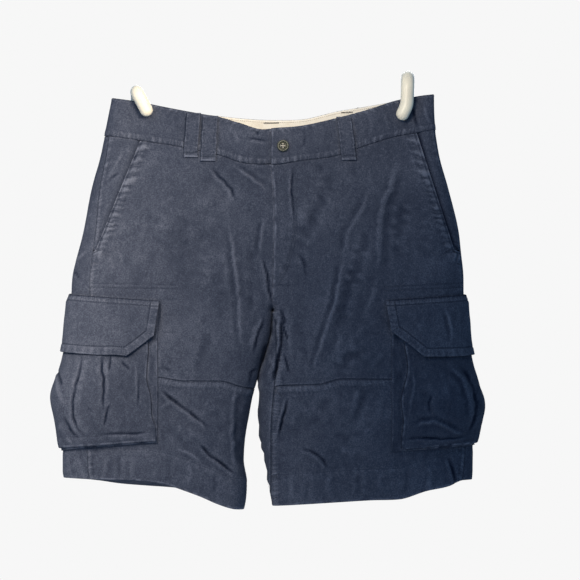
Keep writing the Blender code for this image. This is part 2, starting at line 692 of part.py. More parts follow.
def seam_round(half):
    """The waistband's seam behind the side seam: the front's at the fold, then the back's."""
    edge = half.sign * side_x[half.name](SIDE_TOP_Z)

    def at(x):
        share = ramp((edge - half.sign * x) / SIDE_TO_BACK)
        return mix(front_seam(x), back_seam(x), share)

    return at


# ---- waistband and what is on it ------------------------------------------------------------------
def settle(half, u, z, height):
    """The height of the curve height(x) at a given u."""
    for _ in range(4):
        z = float(height(half.point(u, z)[0]))
    return z


def band_grid(half, seam, rows):
    """A grid over the waistband, from its top edge down to the points of its seam."""
    grid = []
    for u, z in seam:
        face, top_edge = ("front", front_top) if u > 0 else ("back", back_top)
        share = u / half.u_at(face, CENTRE_X, z)
        above = share * half.u_at(face, CENTRE_X, BAND_TOP_Z)
        top = settle(half, above, BAND_TOP_Z, top_edge)
        heights = mix(top, z + GAP, np.linspace(0, 1, rows + 1))
        grid.append([(share * half.u_at(face, CENTRE_X, height), height) for height in heights])
    return np.array(grid).transpose(1, 0, 2)


def waistbands(shorts, seams, twill, cream):
    """Two doubled bands that lap at the front, and the cream lining at the back."""
    lining = []
    for name, half in HALVES.items():
        seam = seams[name]
        if name == "right":
            seam = [uz for uz in seam if uz[0] < 0 or half.point(*uz)[0] < LAP_FROM - LAP_CLEAR]
            for x in np.linspace(LAP_FROM, UNDERLAP, LAP_COLUMNS):
                z = float(front_seam(x))
                seam.append((half.u_at("front", x, z), z))
        grid = band_grid(half, seam, 3)
        level = np.full(len(seam), WAIST_OUTER)
        if name == "right":
            x = np.array([half.point(*uz)[0] for uz in grid[1]])
            level -= LAP_DROP * ramp((x - LAP_FROM) / LAP_RUN) * (grid[1, :, 0] > 0)
        cloth(shorts, f"waistband_{name}", half, grid, level, WAIST_WALL, twill)

        covered = [uz for uz in seam if uz[0] < LINING_END_U]
        grid = band_grid(half, covered, 2)
        grid[-1, :, 1] += LINING_SHORT
        inside = WAIST_OUTER - WAIST_WALL - GAP
        lining.append([np.array(layer(half, grid, d)) for d in (inside, inside - LINING_WALL)])
    outer, inner = (np.concatenate([right[:, ::-1], left[:, 1:]], axis=1)
                    for right, left in zip(*lining, strict=True))  # fmt: skip
    wall(shorts, "waistband_lining", outer, inner, cream)


def loops(shorts, twill):
    for row in LOOPS:
        loop = dict(zip(LOOP_COLUMNS, row, strict=True))
        half, face, side = HALVES[loop["half"]], loop["face"], loop["width"] / 2
        top_edge, seam = (front_top, front_seam) if face == "front" else (back_top, back_seam)
        rows, levels = [], []
        for q in np.linspace(0, 1, LOOP_ROWS + 1):
            x = mix(loop["x_top"], loop["x_bottom"], q)
            top, bottom = float(top_edge(x)) - LOOP_BELOW_TOP, float(seam(x)) - LOOP_DROP
            z = mix(top, bottom, q)
            rows.append([(half.u_at(face, x + d, z), z) for d in (-side, 0, side)])
            seat = WAIST_OUTER if z > float(seam(x)) - LOOP_STEP else 0
            slack = LOOP_SLACK * math.sin(math.pi * min(q / LOOP_SEWN, 1))
            levels.append([seat + SEWN_FLAT + slack + LOOP_WALL] * 3)
        grid, level = np.array(rows), np.array(levels)
        cloth(shorts, f"belt_loop_{loop['name']}", half, grid, level, LOOP_WALL, twill)


def fly_zip(shorts, metal):
    """The closed zip's tape and teeth, behind the fly."""
    half = HALVES["left"]
    top = float(front_seam(0)) - ZIP_BELOW_SEAM
    grid = np.array(
        [
            [(half.u_at("front", x, z), z) for x in np.linspace(*ZIP_X, 4)]
            for z in np.linspace(top, ZIP_BOTTOM_Z, 9)
        ]
    )
    cloth(shorts, "fly_zip", half, grid, -TWILL - ZIP_BEHIND, ZIP_WALL, metal)


def button(shorts, cutters, horn):
    """A turned four-hole button, on the waistband's left end."""
    half = HALVES["left"]
    u = half.u_at("front", BUTTON_X, BUTTON_Z)
    out = Vector(half.normal(u, BUTTON_Z))
    place = Vector(half.point(u, BUTTON_Z)) + out * (WAIST_OUTER + GAP)
    turn_out = out.to_track_quat("Z", "Y")

    r, h, edge, well = BUTTON_RADIUS, BUTTON_THICK, BUTTON_EDGE, BUTTON_WELL
    profile = [
        (0, 0), (r - edge, 0), (r, edge), (r, h - edge), (r - edge, h),
        (well + edge, h), (well, h - BUTTON_DISH), (0, h - BUTTON_DISH),
    ]  # fmt: skip
    data = bpy.data.meshes.new("button")
    data.from_pydata(
        [(x, 0, z) for x, z in profile], [(i, i + 1) for i in range(len(profile) - 1)], []
    )
    made = add(shorts, "button", data, horn)
    screw = made.modifiers.new("turn", "SCREW")
    screw.steps = screw.render_steps = 28
    screw.use_merge_vertices = True
    screw.merge_threshold = 1e-5
    made.location, made.rotation_mode = place, "QUATERNION"
    made.rotation_quaternion = turn_out
    for k in range(4):
        angle = math.radians(45 + 90 * k)
        bpy.ops.mesh.primitive_cylinder_add(
            vertices=10, radius=BUTTON_HOLE_RADIUS, depth=4 * BUTTON_THICK
        )
        hole = bpy.context.object
        hole.name = f"button_hole_{k}"
        off_middle = Vector((math.cos(angle), math.sin(angle), 0)) * BUTTON_HOLE_RING
        hole.rotation_mode, hole.rotation_quaternion = "QUATERNION", turn_out
        hole.location = place + turn_out @ off_middle
        hide_cutter(cutters, hole)
        cut = made.modifiers.new(hole.name, "BOOLEAN")
        cut.operation, cut.solver, cut.object = "DIFFERENCE", "EXACT", hole


def hide_cutter(cutters, made):
    for collection in list(made.users_collection):
        collection.objects.unlink(made)
    cutters.objects.link(made)
    made.hide_render = True
    made.display_type = "WIRE"


# ---- cargo pockets -------------------------------------------------------------------------------------
class Pocket:
    """The bag's own frame: a is the distance back from its front edge, b the distance down."""

    def __init__(self, row):
        self.row = dict(zip(POCKET_COLUMNS, row, strict=True))
        self.half = HALVES[self.row["half"]]
        self.front_u = self.half.u_at("front", self.row["front_x"], POCKET_MIDDLE_Z)
        self.width = self.front_u - POCKET_BACK_U

    def uz(self, a, share):
        """share runs from 0 at the flap's seam to 1 at the bag's foot."""
        q = a / self.front_u
        top = mix(self.row["top_front"], self.row["top_side"], q)
        bottom = mix(self.row["bottom_front"], self.row["bottom_side"], q)
        z = mix(top, bottom, share)
        u = self.half.u_at("front", self.row["front_x"], z) - a
        return u, z

    def height(self, a):
        return self.uz(a, 0)[1] - self.uz(a, 1)[1]

    def stand(self, a, share):
        """How far the bag's face stands off the leg."""
        across = np.clip((a - BAG_INSET[0]) / (self.width - BAG_INSET[0] - BAG_INSET[2]), 0, 1)
        down = share ** (math.log(0.5) / math.log(BAG_FULL))
        crown = abs(math.sin(math.pi * across) * math.sin(math.pi * down))
        bulge = bump(a, self.front_u, BULGE_WIDTH) * bump(share, BULGE_DOWN, BULGE_HEIGHT)
        return BAG_STAND + BAG_CROWN * crown + BULGE_RISE * bulge


def seat(u):
    """Clearance under an edge that is sewn onto a panel."""
    return mix(SEWN_FLAT, SEWN_ON, bump(u, 0, ROUND_FOLD))


def cargo(shorts, pocket, twill):
    half, name, width = pocket.half, pocket.half.name, pocket.width
    front, foot, rear = BAG_INSET
    mouth = BAG_MOUTH / pocket.height(0)
    low = 1 - foot / pocket.height(0)
    start, end = front, width - rear
    pleat_in, pleat_out = PLEATS
    clip_a, clip_b = FLAP_CLIP
    left, right = -FLAP_PAST, width + FLAP_PAST
    past_pleat, clip_start = pleat_out + PLEAT_STEP, right - clip_a
    stops = [0.026, left + clip_a, 0.051, 0.064, pleat_in - PLEAT_STEP, pleat_in, 0.087, 0.0965,
             0.106, pleat_out, past_pleat, *np.linspace(past_pleat, clip_start, 5)[1:],
             *np.linspace(clip_start, end, 4)[1:-1]]  # fmt: skip
    shares = mix(mouth, low, np.array([0, 0.12, 0.27, 0.43, 0.60, 0.77, 0.90, 1]))
    across = [start, *stops, end]
    grid = np.array([[pocket.uz(a, share) for a in across] for share in shares])
    pleated = [PLEAT_RISE * (pleat_in <= a <= pleat_out) for a in across]
    level = np.array([[pocket.stand(a, share) for a in across] for share in shares]) + pleated
    cloth(shorts, f"cargo_bag_{name}", half, grid, level + TWILL, TWILL, twill)

    # The gusset joins the leg along the front, the foot and the back, and leans in to the bag.
    rim = [(0, start, share, share) for share in mix(mouth, low, np.linspace(0, 1, 7))[:-1]]
    rim += [(0, start, 1, low)]
    rim += [(width * (a - start) / (end - start), a, 1, low) for a in stops]
    rim += [(width, end, 1, low)]
    rim += [(width, end, share, share) for share in mix(low, mouth, np.linspace(0, 1, 7))[1:]]
    grid, level = [], []
    for a0, a1, share0, share1 in rim:
        half_way = pocket.uz(mix(a0, a1, 0.5), mix(share0, share1, 0.5))
        grid.append([pocket.uz(a0, share0), half_way, pocket.uz(a1, share1)])
        base, top = seat(grid[-1][0][0]) + TWILL, pocket.stand(a1, share1) - SEWN_ON
        level.append([base, mix(base, top, GUSSET_LEAN), top])
    cloth(shorts, f"cargo_gusset_{name}", half, np.array(grid), np.array(level), TWILL, twill)

    # The flap is sewn on above the mouth and covers it, its lower corners cut off.
    across = [left, left + 0.008, start, *stops, end, right]
    over = TWILL + PLEAT_RISE + FLAP_OVER
    grid, level = [], []
    for q in (0, 0.08, 0.17, 0.35, 0.56, 0.78, 1):
        row, rise = [], []
        for a in across:
            drop = FLAP_HEIGHT - clip_b * max(0, 1 - min(a - left, right - a) / clip_a)
            share = q * drop / pocket.height(a)
            narrowed = min(q * drop / (FLAP_HEIGHT - clip_b), 1) * (1 - max(a, 0) / FLAP_TAPERED)
            a = a + pocket.row["flap_taper"] * max(narrowed, 0)
            row.append(pocket.uz(a, share))
            lift = ramp(q * drop / BAG_MOUTH)
            sewn = seat(row[-1][0])
            rise.append(mix(sewn, pocket.stand(a, share) + over, lift) + FLAP_WALL)
        grid.append(row)
        level.append(rise)
    cloth(shorts, f"cargo_flap_{name}", half, np.array(grid), np.array(level), FLAP_WALL, twill)


# ---- hooks ----------------------------------------------------------------------------------
def arc_points(start, corner, end, radius, count=5):
    """Points of a round bend of a polyline's corner, no longer than half of either side."""
    start, corner, end = Vector(start), Vector(corner), Vector(end)
    back, on = start - corner, end - corner
    angle = back.angle(on)
    reach = min(radius / math.tan(angle / 2), 0.49 * back.length, 0.49 * on.length)
    radius = reach * math.tan(angle / 2)
    back, on = back.normalized(), on.normalized()
    middle = corner + (back + on).normalized() * radius / math.sin(angle / 2)
    a = (corner + back * reach - middle).normalized()
    b = (corner + on * reach - middle).normalized()
    return [middle + a.slerp(b, k / (count - 1)) * radius for k in range(count)]


def hook(shorts, row, paint):
    row = dict(zip(HOOK_COLUMNS, row, strict=True))
    side, x_back, x_top = row["side"], row["x_back"], row["x_top"]
    half = HALVES[side]
    clear = WAIST_OUTER + GAP + HOOK_RADIUS
    behind = [half.point(half.u_at("back", x_back, z), z)[1] for z in HOOK_BEHIND]
    y_back = max(behind) + clear
    z_over = row["z_top"] - HOOK_RADIUS
    fronts = []
    for x, z in ((row["x_front"], row["z_bend"]), (row["x_tip"], row["z_tip"] + HOOK_RADIUS)):
        u = half.u_at("front", x, z)
        out = Vector(half.normal(u, z)) * (clear + HOOK_OFF)
        fronts.append(Vector(half.point(u, z)) + out)
    knee_point, tip = fronts
    over_back = (x_top, y_back, z_over)
    over_front = (x_top, knee_point.y, z_over)
    plate_face = (x_back, -PLATE_THICK - GAP, PLATE_Z)
    elbow = (x_back, y_back, PLATE_Z)
    span = (y_back - knee_point.y) / 2
    path = [Vector(plate_face)]
    path += arc_points(plate_face, elbow, over_back, min(HOOK_BEND, -y_back - PLATE_THICK - GAP))
    path += arc_points(elbow, over_back, over_front, span, 6)
    path += arc_points(over_back, over_front, knee_point, span, 6)
    path += arc_points(over_front, knee_point, tip, HOOK_KNEE, 4)
    direction = (tip - path[-1]).normalized()
    radii = [1.0] * len(path)
    for angle in np.linspace(0, math.pi / 2, 7):
        path.append(tip + direction * HOOK_RADIUS * math.sin(angle))
        radii.append(max(math.cos(angle), HOOK_TIP))
    data = bpy.data.curves.new(f"hook_{side}", "CURVE")
    data.dimensions = "3D"
    data.bevel_depth = HOOK_RADIUS
    data.bevel_resolution = 2
    data.use_fill_caps = True
    spline = data.splines.new("POLY")
    spline.points.add(len(path) - 1)
    for point, co, radius in zip(spline.points, path, radii, strict=True):
        point.co, point.radius = (*co, 1), radius
    spline.use_smooth = True
    add(shorts, f"hook_{side}", data, paint)

    bpy.ops.mesh.primitive_cylinder_add(
        vertices=32, radius=PLATE_RADIUS, depth=PLATE_THICK,
        location=(x_back, -PLATE_THICK / 2, PLATE_Z), rotation=(math.pi / 2, 0, 0),
    )  # fmt: skip
    plate = bpy.context.object
    plate.name = f"wall_plate_{side}"
    for collection in list(plate.users_collection):
        collection.objects.unlink(plate)
    shorts.objects.link(plate)
    plate.data.materials.append(paint)


def build():
    for old in list(bpy.data.objects):
        bpy.data.objects.remove(old)
    shorts = bpy.data.collections.new("cargo_shorts")
    cutters = bpy.data.collections.new("cutters")
    for collection in (shorts, cutters):
        bpy.context.scene.collection.children.link(collection)
    twill = material("navy_twill", NAVY, 0.9)
    cream = material("cream_cotton", CREAM, 0.9)
    horn = material("button_horn", HORN, 0.35)
    metal = material("zip", ZIP_COLOUR, 0.5, 0.6)
    paint = material("hook_paint", PAINT, 0.45)
    seams = {name: panels(shorts, half, twill) for name, half in HALVES.items()}
    waistbands(shorts, seams, twill, cream)
    loops(shorts, twill)
    fly_zip(shorts, metal)
    button(shorts, cutters, horn)
    for row in POCKETS:
        cargo(shorts, Pocket(row), twill)
    for row in HOOKS:
        hook(shorts, row, paint)


build()
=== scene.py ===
"""Cargo shorts hanging on two wall hooks: the visible model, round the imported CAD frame.

Metres, +Z up, the wearer's front towards -Y, the wearer's right at -X. The cloth lies on the same
surface as the solids: a point of it is (u, z), u being the distance from the fold at the garment's
outer side, positive round the front and negative round the back. The tables of shapes are in
millimetres and are scaled by MM on use. Places as seen count the photo's pixels, right and down.
"""

import math

import bpy
import numpy as np
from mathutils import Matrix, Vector


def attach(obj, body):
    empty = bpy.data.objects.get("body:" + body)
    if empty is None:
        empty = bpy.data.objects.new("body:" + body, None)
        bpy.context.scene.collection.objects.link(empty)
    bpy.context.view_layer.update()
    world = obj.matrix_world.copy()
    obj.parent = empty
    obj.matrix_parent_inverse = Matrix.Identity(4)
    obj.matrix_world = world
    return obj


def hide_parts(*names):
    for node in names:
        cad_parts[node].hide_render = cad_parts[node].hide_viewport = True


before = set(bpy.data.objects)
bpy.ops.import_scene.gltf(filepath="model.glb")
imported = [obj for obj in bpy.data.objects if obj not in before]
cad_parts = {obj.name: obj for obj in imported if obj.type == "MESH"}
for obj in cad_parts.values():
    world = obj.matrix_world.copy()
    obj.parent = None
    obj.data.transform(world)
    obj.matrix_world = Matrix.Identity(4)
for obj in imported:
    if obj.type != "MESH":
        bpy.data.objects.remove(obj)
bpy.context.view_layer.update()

MM = 0.001
PIXEL = 1.45 * MM  # one pixel of the photo
SEEN_ORIGIN = (274.5, 124)
PHOTO_SIDE = 580


def seen(*numbers):
    """World x and z of places as seen: x, y, x, y and so on."""
    return (np.reshape(numbers, (-1, 2)) - SEEN_ORIGIN) * (PIXEL, -PIXEL)


# ---- the hanging surface, as in the solids ----
GAP = 0.0003
LAP = 0.0008  # the visible pieces run this much past their seams, so that no light shows through
SEWN_ON, SEWN_FLAT = 0.0013, 0.0005
TWILL, WAIST_OUTER, WAIST_WALL = 0.0015, 0.0008, 0.0028
MIDDLE_Y, JUNCTION_Z, CENTRE_X = -0.056, -0.270, -0.0022
ABOVE_JUNCTION, LOWEST_HIP = JUNCTION_Z + 1e-6, JUNCTION_Z + 1e-5
WAISTBAND, SIDE_TO_BACK, FLY_TOP_Z = 0.052, 0.040, -0.06
INSEAM_LEFT_X, INSEAM_LOW_X, INSEAM_HIDDEN = 0.0030, -0.0045, 0.010
INSEAM_LOW_FROM, INSEAM_LOW_OVER, INSEAM_FROM_FOLD = -0.33, 0.12, {"left": 0.02, "right": 0.06}
CROTCH_RISE = 0.5
WAIST_FROM, WAIST_OVER = -0.100, 0.070
PINCH_X, PINCH, PINCH_WIDTH = 0.192, 0.42, 0.040
OPEN_WIDTH, OPEN_FRONT, OPEN_BACK = 0.115, 0.014, 0.007
SPLIT_FROM, SPLIT_OVER, SPLIT_CROWN = -0.12, 0.15, 0.22
SIDE_TOP_Z, KNEE_SIDE_Z, HEM_SIDE_Z = -0.02, -0.37, -0.515
KNEE_INNER_Z, HEM_INNER_Z = -0.386, -0.55

# z, outer fold right, left, depth of the front and the back, reach of the turn
BODY = (
    (45, -234, 231.3, 9, 8, 16),
    (0, -243, 232.7, 13, 11, 22),
    (-45, -252.5, 239.2, 21, 17, 32),
    (-95, -266.1, 253, 27, 23, 40),
    (-154, -277.7, 267.5, 31, 27, 46),
    (-197, -287.8, 271.9, 32.5, 28.5, 48),
    (-241, -295.1, 274.8, 33, 29.5, 48),
    (-299, -295.5, 273.5, 33, 30, 48),
    (-340, -297, 274, 33, 30, 48),
    (-386, -300, 280, 32.5, 30, 46),
    (-458, -306.5, 287.8, 32, 30, 44),
    (-502, -307.5, 287.5, 31, 30, 42),
    (-531, -301, 285, 30.5, 30, 42),
    (-575, -299, 284, 30, 30, 42),
)
# z, inner fold right, left, reach
LEGS = (
    (-270, -2.4, -2, 10),
    (-305, -6, -4.8, 11),
    (-336, -14.2, -13, 14),
    (-368, -24.7, -23.4, 18),
    (-386, -29.7, -22.8, 22),
    (-415, -35.5, -25.4, 24),
    (-458, -42.8, -22.5, 24),
    (-487, -44.2, -15.2, 24),
    (-516, -39.9, -10.9, 24),
    (-545, -41.3, -4.5, 24),
    (-575, -48, 1, 24),
)
# x, front top, front seam, back top
WAIST = (
    (-240, 38.5, -17.4, 38.5),
    (-201, 33.2, -23.2, 32.2),
    (-150, 23, -31, 22.2),
    (-105, 14.5, -40, 15),
    (-79, 9.8, -45.8, 12),
    (-50, 1.2, -55.6, 9),
    (-18, -7.5, -59.2, 6.8),
    (0, -6.2, -59, 6.4),
    (37, -3, -54, 7.2),
    (89, 8.3, -46.6, 18.5),
    (138, 21.8, -29.8, 26.8),
    (173, 33.4, -19, 33),
    (208, 40.6, -12.5, 40.2),
    (240, 44.5, -6.5, 44.5),
)
# x, front hem, back hem
RIGHT_HEM = (
    (-302, -514.8, -514.8),
    (-256, -516.2, -518.5),
    (-227, -516.2, -522.5),
    (-188, -517.7, -525.5),
    (-159, -522, -527),
    (-128, -532.2, -529),
    (-105, -540.9, -532),
    (-82, -551, -537),
    (-57, -558.3, -543),
    (-41, -559, -548),
)
LEFT_HEM = (
    (-5, -553.9, -548),
    (46, -551, -545),
    (92, -548.1, -540),
    (140, -545.2, -536),
    (180, -544, -532),
    (220, -532.2, -526),
    (254, -524.9, -520),
    (270, -517.7, -517.7),
    (287, -516.5, -516.5),
)
# z, x of the fly
FLY = (
    (0, -7.2),
    (-59.5, -4),
    (-88.5, -1),
    (-124.7, 0.8),
    (-182.7, 0),
    (-240, -1.5),
    (-270, -2.2),
)
# z, u of the side seam right, left
SIDE_SEAM = (
    (-15, 11, 5),
    (-120, 28, 7),
    (-230, 39, 9),
    (-380, 45, 15),
    (-520, 50, 25),
)
# x, z of the seam above the knee
RIGHT_KNEE = (
    (-300, -365),
    (-170, -366.9),
    (-130, -372.7),
    (-79, -372.7),
    (-50, -379.9),
    (-25, -384.3),
)
LEFT_KNEE = (
    (-20, -380.5),
    (8, -378.5),
    (66, -377),
    (97, -369.6),
    (169, -370),
    (290, -367),
)
# the slanted pocket mouth: x of its top, x and z of its bottom
MOUTHS = {"right": (-195, -260.3, -185.6), "left": (206.6, 262, -185.6)}
# x, z, x, z, width and height of the largest folds
FRONT_FOLDS = (
    (-90.6, -70, -57.3, -115, 16, -3.5),
    (-61.6, -64, -6.5, -100, 14, 2.5),
    (-234.2, -182.7, -224, -210, 14, -3),
    (-71.8, -168.2, -50, -400.2, 24, 4.5),
    (-161.7, -388.6, -100.8, -436.5, 18, -5),
    (-150, -420, -100, -456, 20, 4),
    (-100.8, -469.8, -57.3, -504.6, 18, -4.5),
    (102.2, -197.2, 51.5, -371.2, 26, 5),
    (145.7, -219, 109.5, -298.7, 22, -4.5),
    (80.5, -385.7, 22.5, -458.2, 20, -4),
    (70, -450, 55, -530, 24, 3.5),
    (150, -80, 165, -200, 30, 3),
    (-150, -80, -140, -220, 34, 2.5),
)
BACK_FOLDS = (
    (-110, -80, -50, -200, 30, -3.5),
    (120, -75, 60, -210, 32, -3.5),
    (-40, -220, -120, -330, 28, 4),
    (45, -230, 130, -330, 28, 4),
    (-170, -360, -150, -500, 34, 4),
    (160, -350, 150, -500, 34, 3.5),
    (-95, -400, -80, -520, 26, -4),
    (90, -390, 70, -500, 26, -4),
)


def curve(table, column):
    """A smooth function through a table's column that never overshoots it (monotone cubic)."""
    xs, ys = np.array(sorted((row[0], row[column]) for row in table)).T * MM
    step = np.diff(xs)
    slope = np.diff(ys) / step
    tangent = np.concatenate([slope[:1], (slope[1:] + slope[:-1]) / 2, slope[-1:]])
    tangent[1:-1][slope[1:] * slope[:-1] <= 0] = 0
    for i, limit in enumerate(3 * np.abs(slope)):
        tangent[i : i + 2] = np.clip(tangent[i : i + 2], -limit, limit)

    def at(x):
        x = np.clip(x, xs[0], xs[-1])
        i = np.clip(np.searchsorted(xs, x) - 1, 0, len(step) - 1)
        q, h = (x - xs[i]) / step[i], step[i]
        levels = ys[i] * (1 + 2 * q) * (1 - q) ** 2 + ys[i + 1] * q * q * (3 - 2 * q)
        return levels + h * q * (1 - q) * (tangent[i] * (1 - q) - tangent[i + 1] * q)

    return at


def ramp(q):
    q = np.clip(q, 0, 1)
    return q * q * (3 - 2 * q)


def mix(a, b, q):
    return a + (b - a) * q


def bump(x, centre, half_width):
    return np.exp(-(((x - centre) / half_width) ** 2))


def unit(v):
    return v / np.maximum(np.linalg.norm(v, axis=-1, keepdims=True), 1e-12)


side_x = {"right": curve(BODY, 1), "left": curve(BODY, 2)}
front_depth, back_depth, side_reach = (curve(BODY, k) for k in (3, 4, 5))
inner_x = {"right": curve(LEGS, 1), "left": curve(LEGS, 2)}
inner_reach = curve(LEGS, 3)
front_top, front_seam, back_top = (curve(WAIST, k) for k in (1, 2, 3))
fly_x = curve(FLY, 1)
side_seam = {"right": curve(SIDE_SEAM, 1), "left": curve(SIDE_SEAM, 2)}
knee_z = {"right": curve(RIGHT_KNEE, 1), "left": curve(LEFT_KNEE, 1)}
hem_z = {
    (half, face): curve(table, column)
    for half, table in (("right", RIGHT_HEM), ("left", LEFT_HEM))
    for face, column in (("front", 1), ("back", 2))
}


def back_seam(x):
    return back_top(x) - WAISTBAND


def folds(x, z, table):
    total = 0.0
    for x0, z0, x1, z1, width, height in np.array(table) * MM:
        dx, dz = x1 - x0, z1 - z0
        along = ((x - x0) * dx + (z - z0) * dz) / (dx * dx + dz * dz)
        off = ((x - x0) * dz - (z - z0) * dx) / math.hypot(dx, dz)
        total = total + height * ramp((along + 0.15) / 0.4) * ramp((1.15 - along) / 0.4) * bump(off, 0, width)
    return total


def depth(face, x, z):
    level = ramp((z - WAIST_FROM) / WAIST_OVER)
    pinch = 1 - PINCH * level * (bump(x, -PINCH_X, PINCH_WIDTH) + bump(x, PINCH_X, PINCH_WIDTH))
    opening = bump(x, 0, OPEN_WIDTH) * level
    if face == "front":
        return front_depth(z) * pinch + OPEN_FRONT * opening + folds(x, z, FRONT_FOLDS)
    return back_depth(z) * pinch + OPEN_BACK * opening + folds(x, z, BACK_FOLDS)


def turn(distance, reach):
    return np.sqrt(1 - (1 - np.clip(distance / reach, 0, 1)) ** 2)


class Half:
    """One half of the garment, tabulated finely so that whole grids are looked up at once."""

    TURN = 1 - np.cos(np.linspace(0, math.pi / 2, 48))
    BEYOND = 0.060  # how far a row is measured past the centre
    DU, DZ, DA = 0.0008, 0.0015, 0.0008
    HIGH, LOW, WIDEST, FARTHEST = 0.060, -0.600, 0.72, 0.36
    NORMAL_STEP = 0.0012

    def __init__(self, name):
        self.name, self.sign = name, -1 if name == "right" else 1
        self.tables, self.inverse = {}, {}
        us, ats = np.arange(0, self.WIDEST, self.DU), np.arange(0, self.FARTHEST, self.DA)
        hips = np.arange(ABOVE_JUNCTION, self.HIGH, self.DZ)
        legs = np.arange(JUNCTION_Z, self.LOW, -self.DZ)
        for above, face in ((True, "front"), (True, "back"), (False, "back"), (False, "front")):
            rings = [self.ring(z, face) for z in (hips if above else legs)]
            points = [[np.interp(us, u, x), np.interp(us, u, y)] for u, x, y, _ in rings]
            self.tables[face, above] = np.array(points).transpose(0, 2, 1)
            self.inverse[face, above] = np.array([np.interp(ats, at, u[: len(at)]) for u, _, _, at in rings])
        self.low_z = legs[::-1]
        self.fold = np.array([u[len(at) - 1] for u, _, _, at in rings])[::-1]
        self.whole = np.array([u[-1] for u, _, _, _ in rings])[::-1]

    def measured(self, face, z):
        """A row of the surface from the outer side inwards: u, x, y and the distance seen."""
        side, reach = side_x[self.name](z), side_reach(z)
        if z <= JUNCTION_Z:
            wide, end = self.sign * (side - inner_x[self.name](z)), inner_reach(z)
            flat = np.linspace(reach, wide - end, 110)[1:-1]
            at = np.concatenate([reach * self.TURN, flat, (wide - end * self.TURN)[::-1]])
            inner = turn(wide - at, end)
        else:
            wide = self.sign * (side - CENTRE_X)
            at = np.concatenate([reach * self.TURN, np.linspace(reach, wide + self.BEYOND, 160)[1:]])
            hollow = np.hypot(wide - at, CROTCH_RISE * (z - JUNCTION_Z))
            inner = turn(hollow, inner_reach(JUNCTION_Z))
        x = side - self.sign * at
        split = ramp((SPLIT_FROM - z) / SPLIT_OVER)
        crown = 1 - SPLIT_CROWN * split * (2 * np.clip(at / wide, 0, 1) - 1) ** 2
        off = depth(face, x, z) * turn(at, reach) * inner * crown
        y = MIDDLE_Y + (off if face == "back" else -off)
        u = np.append(0, np.cumsum(np.hypot(np.diff(x), np.diff(y))))
        turned = len(self.TURN) - 1
        u[turned:] = u[turned] + at[turned:] - at[turned]
        return u, x, y, at

    def ring(self, z, first):
        u, x, y, at = self.measured(first, z)
        if z <= JUNCTION_Z:
            u2, x2, y2, _ = self.measured("back" if first == "front" else "front", z)
            u = np.append(u, u[-1] + u2[-1] - u2[-2::-1])
            x, y = np.append(x, x2[-2::-1]), np.append(y, y2[-2::-1])
        return u, x, y, at

    def look_up(self, tables, face, along, step, z):
        """Bilinear look-up of a table by (z, along), above and below the junction apart."""
        out = np.empty(z.shape + tables[face, True].shape[2:])
        for above in (True, False):
            table, chosen = tables[face, above], (z > JUNCTION_Z) == above
            row = (z[chosen] - ABOVE_JUNCTION) if above else (JUNCTION_Z - z[chosen])
            row = np.clip(row / self.DZ, 0, len(table) - 1.001)
            col = np.clip(along[chosen] / step, 0, table.shape[1] - 1.001)
            i, j = row.astype(int), col.astype(int)
            p, q = row - i, col - j
            if table.ndim == 3:
                p, q = p[:, None], q[:, None]
            this, following = (mix(table[i, j + k], table[i + 1, j + k], p) for k in (0, 1))
            out[chosen] = mix(this, following, q)
        return out

    def point(self, u, z):
        u, z = np.broadcast_arrays(np.asarray(u, float), np.asarray(z, float))
        out = np.empty(u.shape + (3,))
        for face, chosen in (("front", u >= 0), ("back", u < 0)):
            out[chosen, :2] = self.look_up(self.tables, face, np.abs(u[chosen]), self.DU, z[chosen])
        out[..., 2] = z
        return out

    def normal(self, u, z):
        d = self.NORMAL_STEP
        u, z = np.broadcast_arrays(np.asarray(u, float), np.asarray(z, float))
        hips = z > JUNCTION_Z
        low = np.where(hips, np.maximum(z - d, ABOVE_JUNCTION), z - d)
        high = np.where(hips, z + d, np.minimum(z + d, JUNCTION_Z))
        across = self.point(u + d, z) - self.point(u - d, z)
        return unit(np.cross(self.point(u, high) - self.point(u, low), across) * self.sign)

    def u_at(self, face, x, z):
        x, z = np.broadcast_arrays(np.asarray(x, float), np.asarray(z, float))
        at = self.sign * (side_x[self.name](z) - x)
        u = self.look_up(self.inverse, face, np.maximum(at, 0), self.DA, z)
        return u if face == "front" else -u

    def u_fold(self, z):
        return np.interp(z, self.low_z, self.fold)

    def girth(self, z):
        return np.interp(z, self.low_z, self.whole)

    def on(self, uz):
        """World points of a grid of (u, z) on the surface itself."""
        return self.point(*np.moveaxis(uz, -1, 0))

    def lay(self, uz, level=0.0):
        """World points of a grid of (u, z), moved out from the surface by level."""
        level = np.broadcast_to(level, uz.shape[:-1])[..., None]
        return self.on(uz) + self.out(uz) * level

    def out(self, uz):
        return self.normal(*np.moveaxis(uz, -1, 0))

    def facing(self, uz):
        """1 where the cloth looks to the front, and 0 where it has turned away."""
        return ramp((0.35 - self.out(uz)[..., 1]) / 0.3)


HALVES = {name: Half(name) for name in ("right", "left")}


# ---- seams, as arrays of (u, z) ----
def steps(length, step):
    """Places from 0 to 1 along a seam: close together at both ends, where an edge is rounded."""
    edge, first = np.array([0, 0.0004, 0.0010]), 0.0019
    count = max(2, round((length - 2 * first) / step))
    middle = np.linspace(first, length - first, count + 1)
    return np.concatenate([edge, middle, (length - edge)[::-1]]) / length


def line_length(line):
    return float(np.hypot(*np.diff(line, axis=0).T).sum())


def resample(line, places):
    """Points of a polyline at shares of its length."""
    line = np.asarray(line, float)
    along = np.append(0, np.cumsum(np.hypot(*np.diff(line, axis=0).T)))
    return np.stack([np.interp(places * along[-1], along, column) for column in line.T], axis=1)


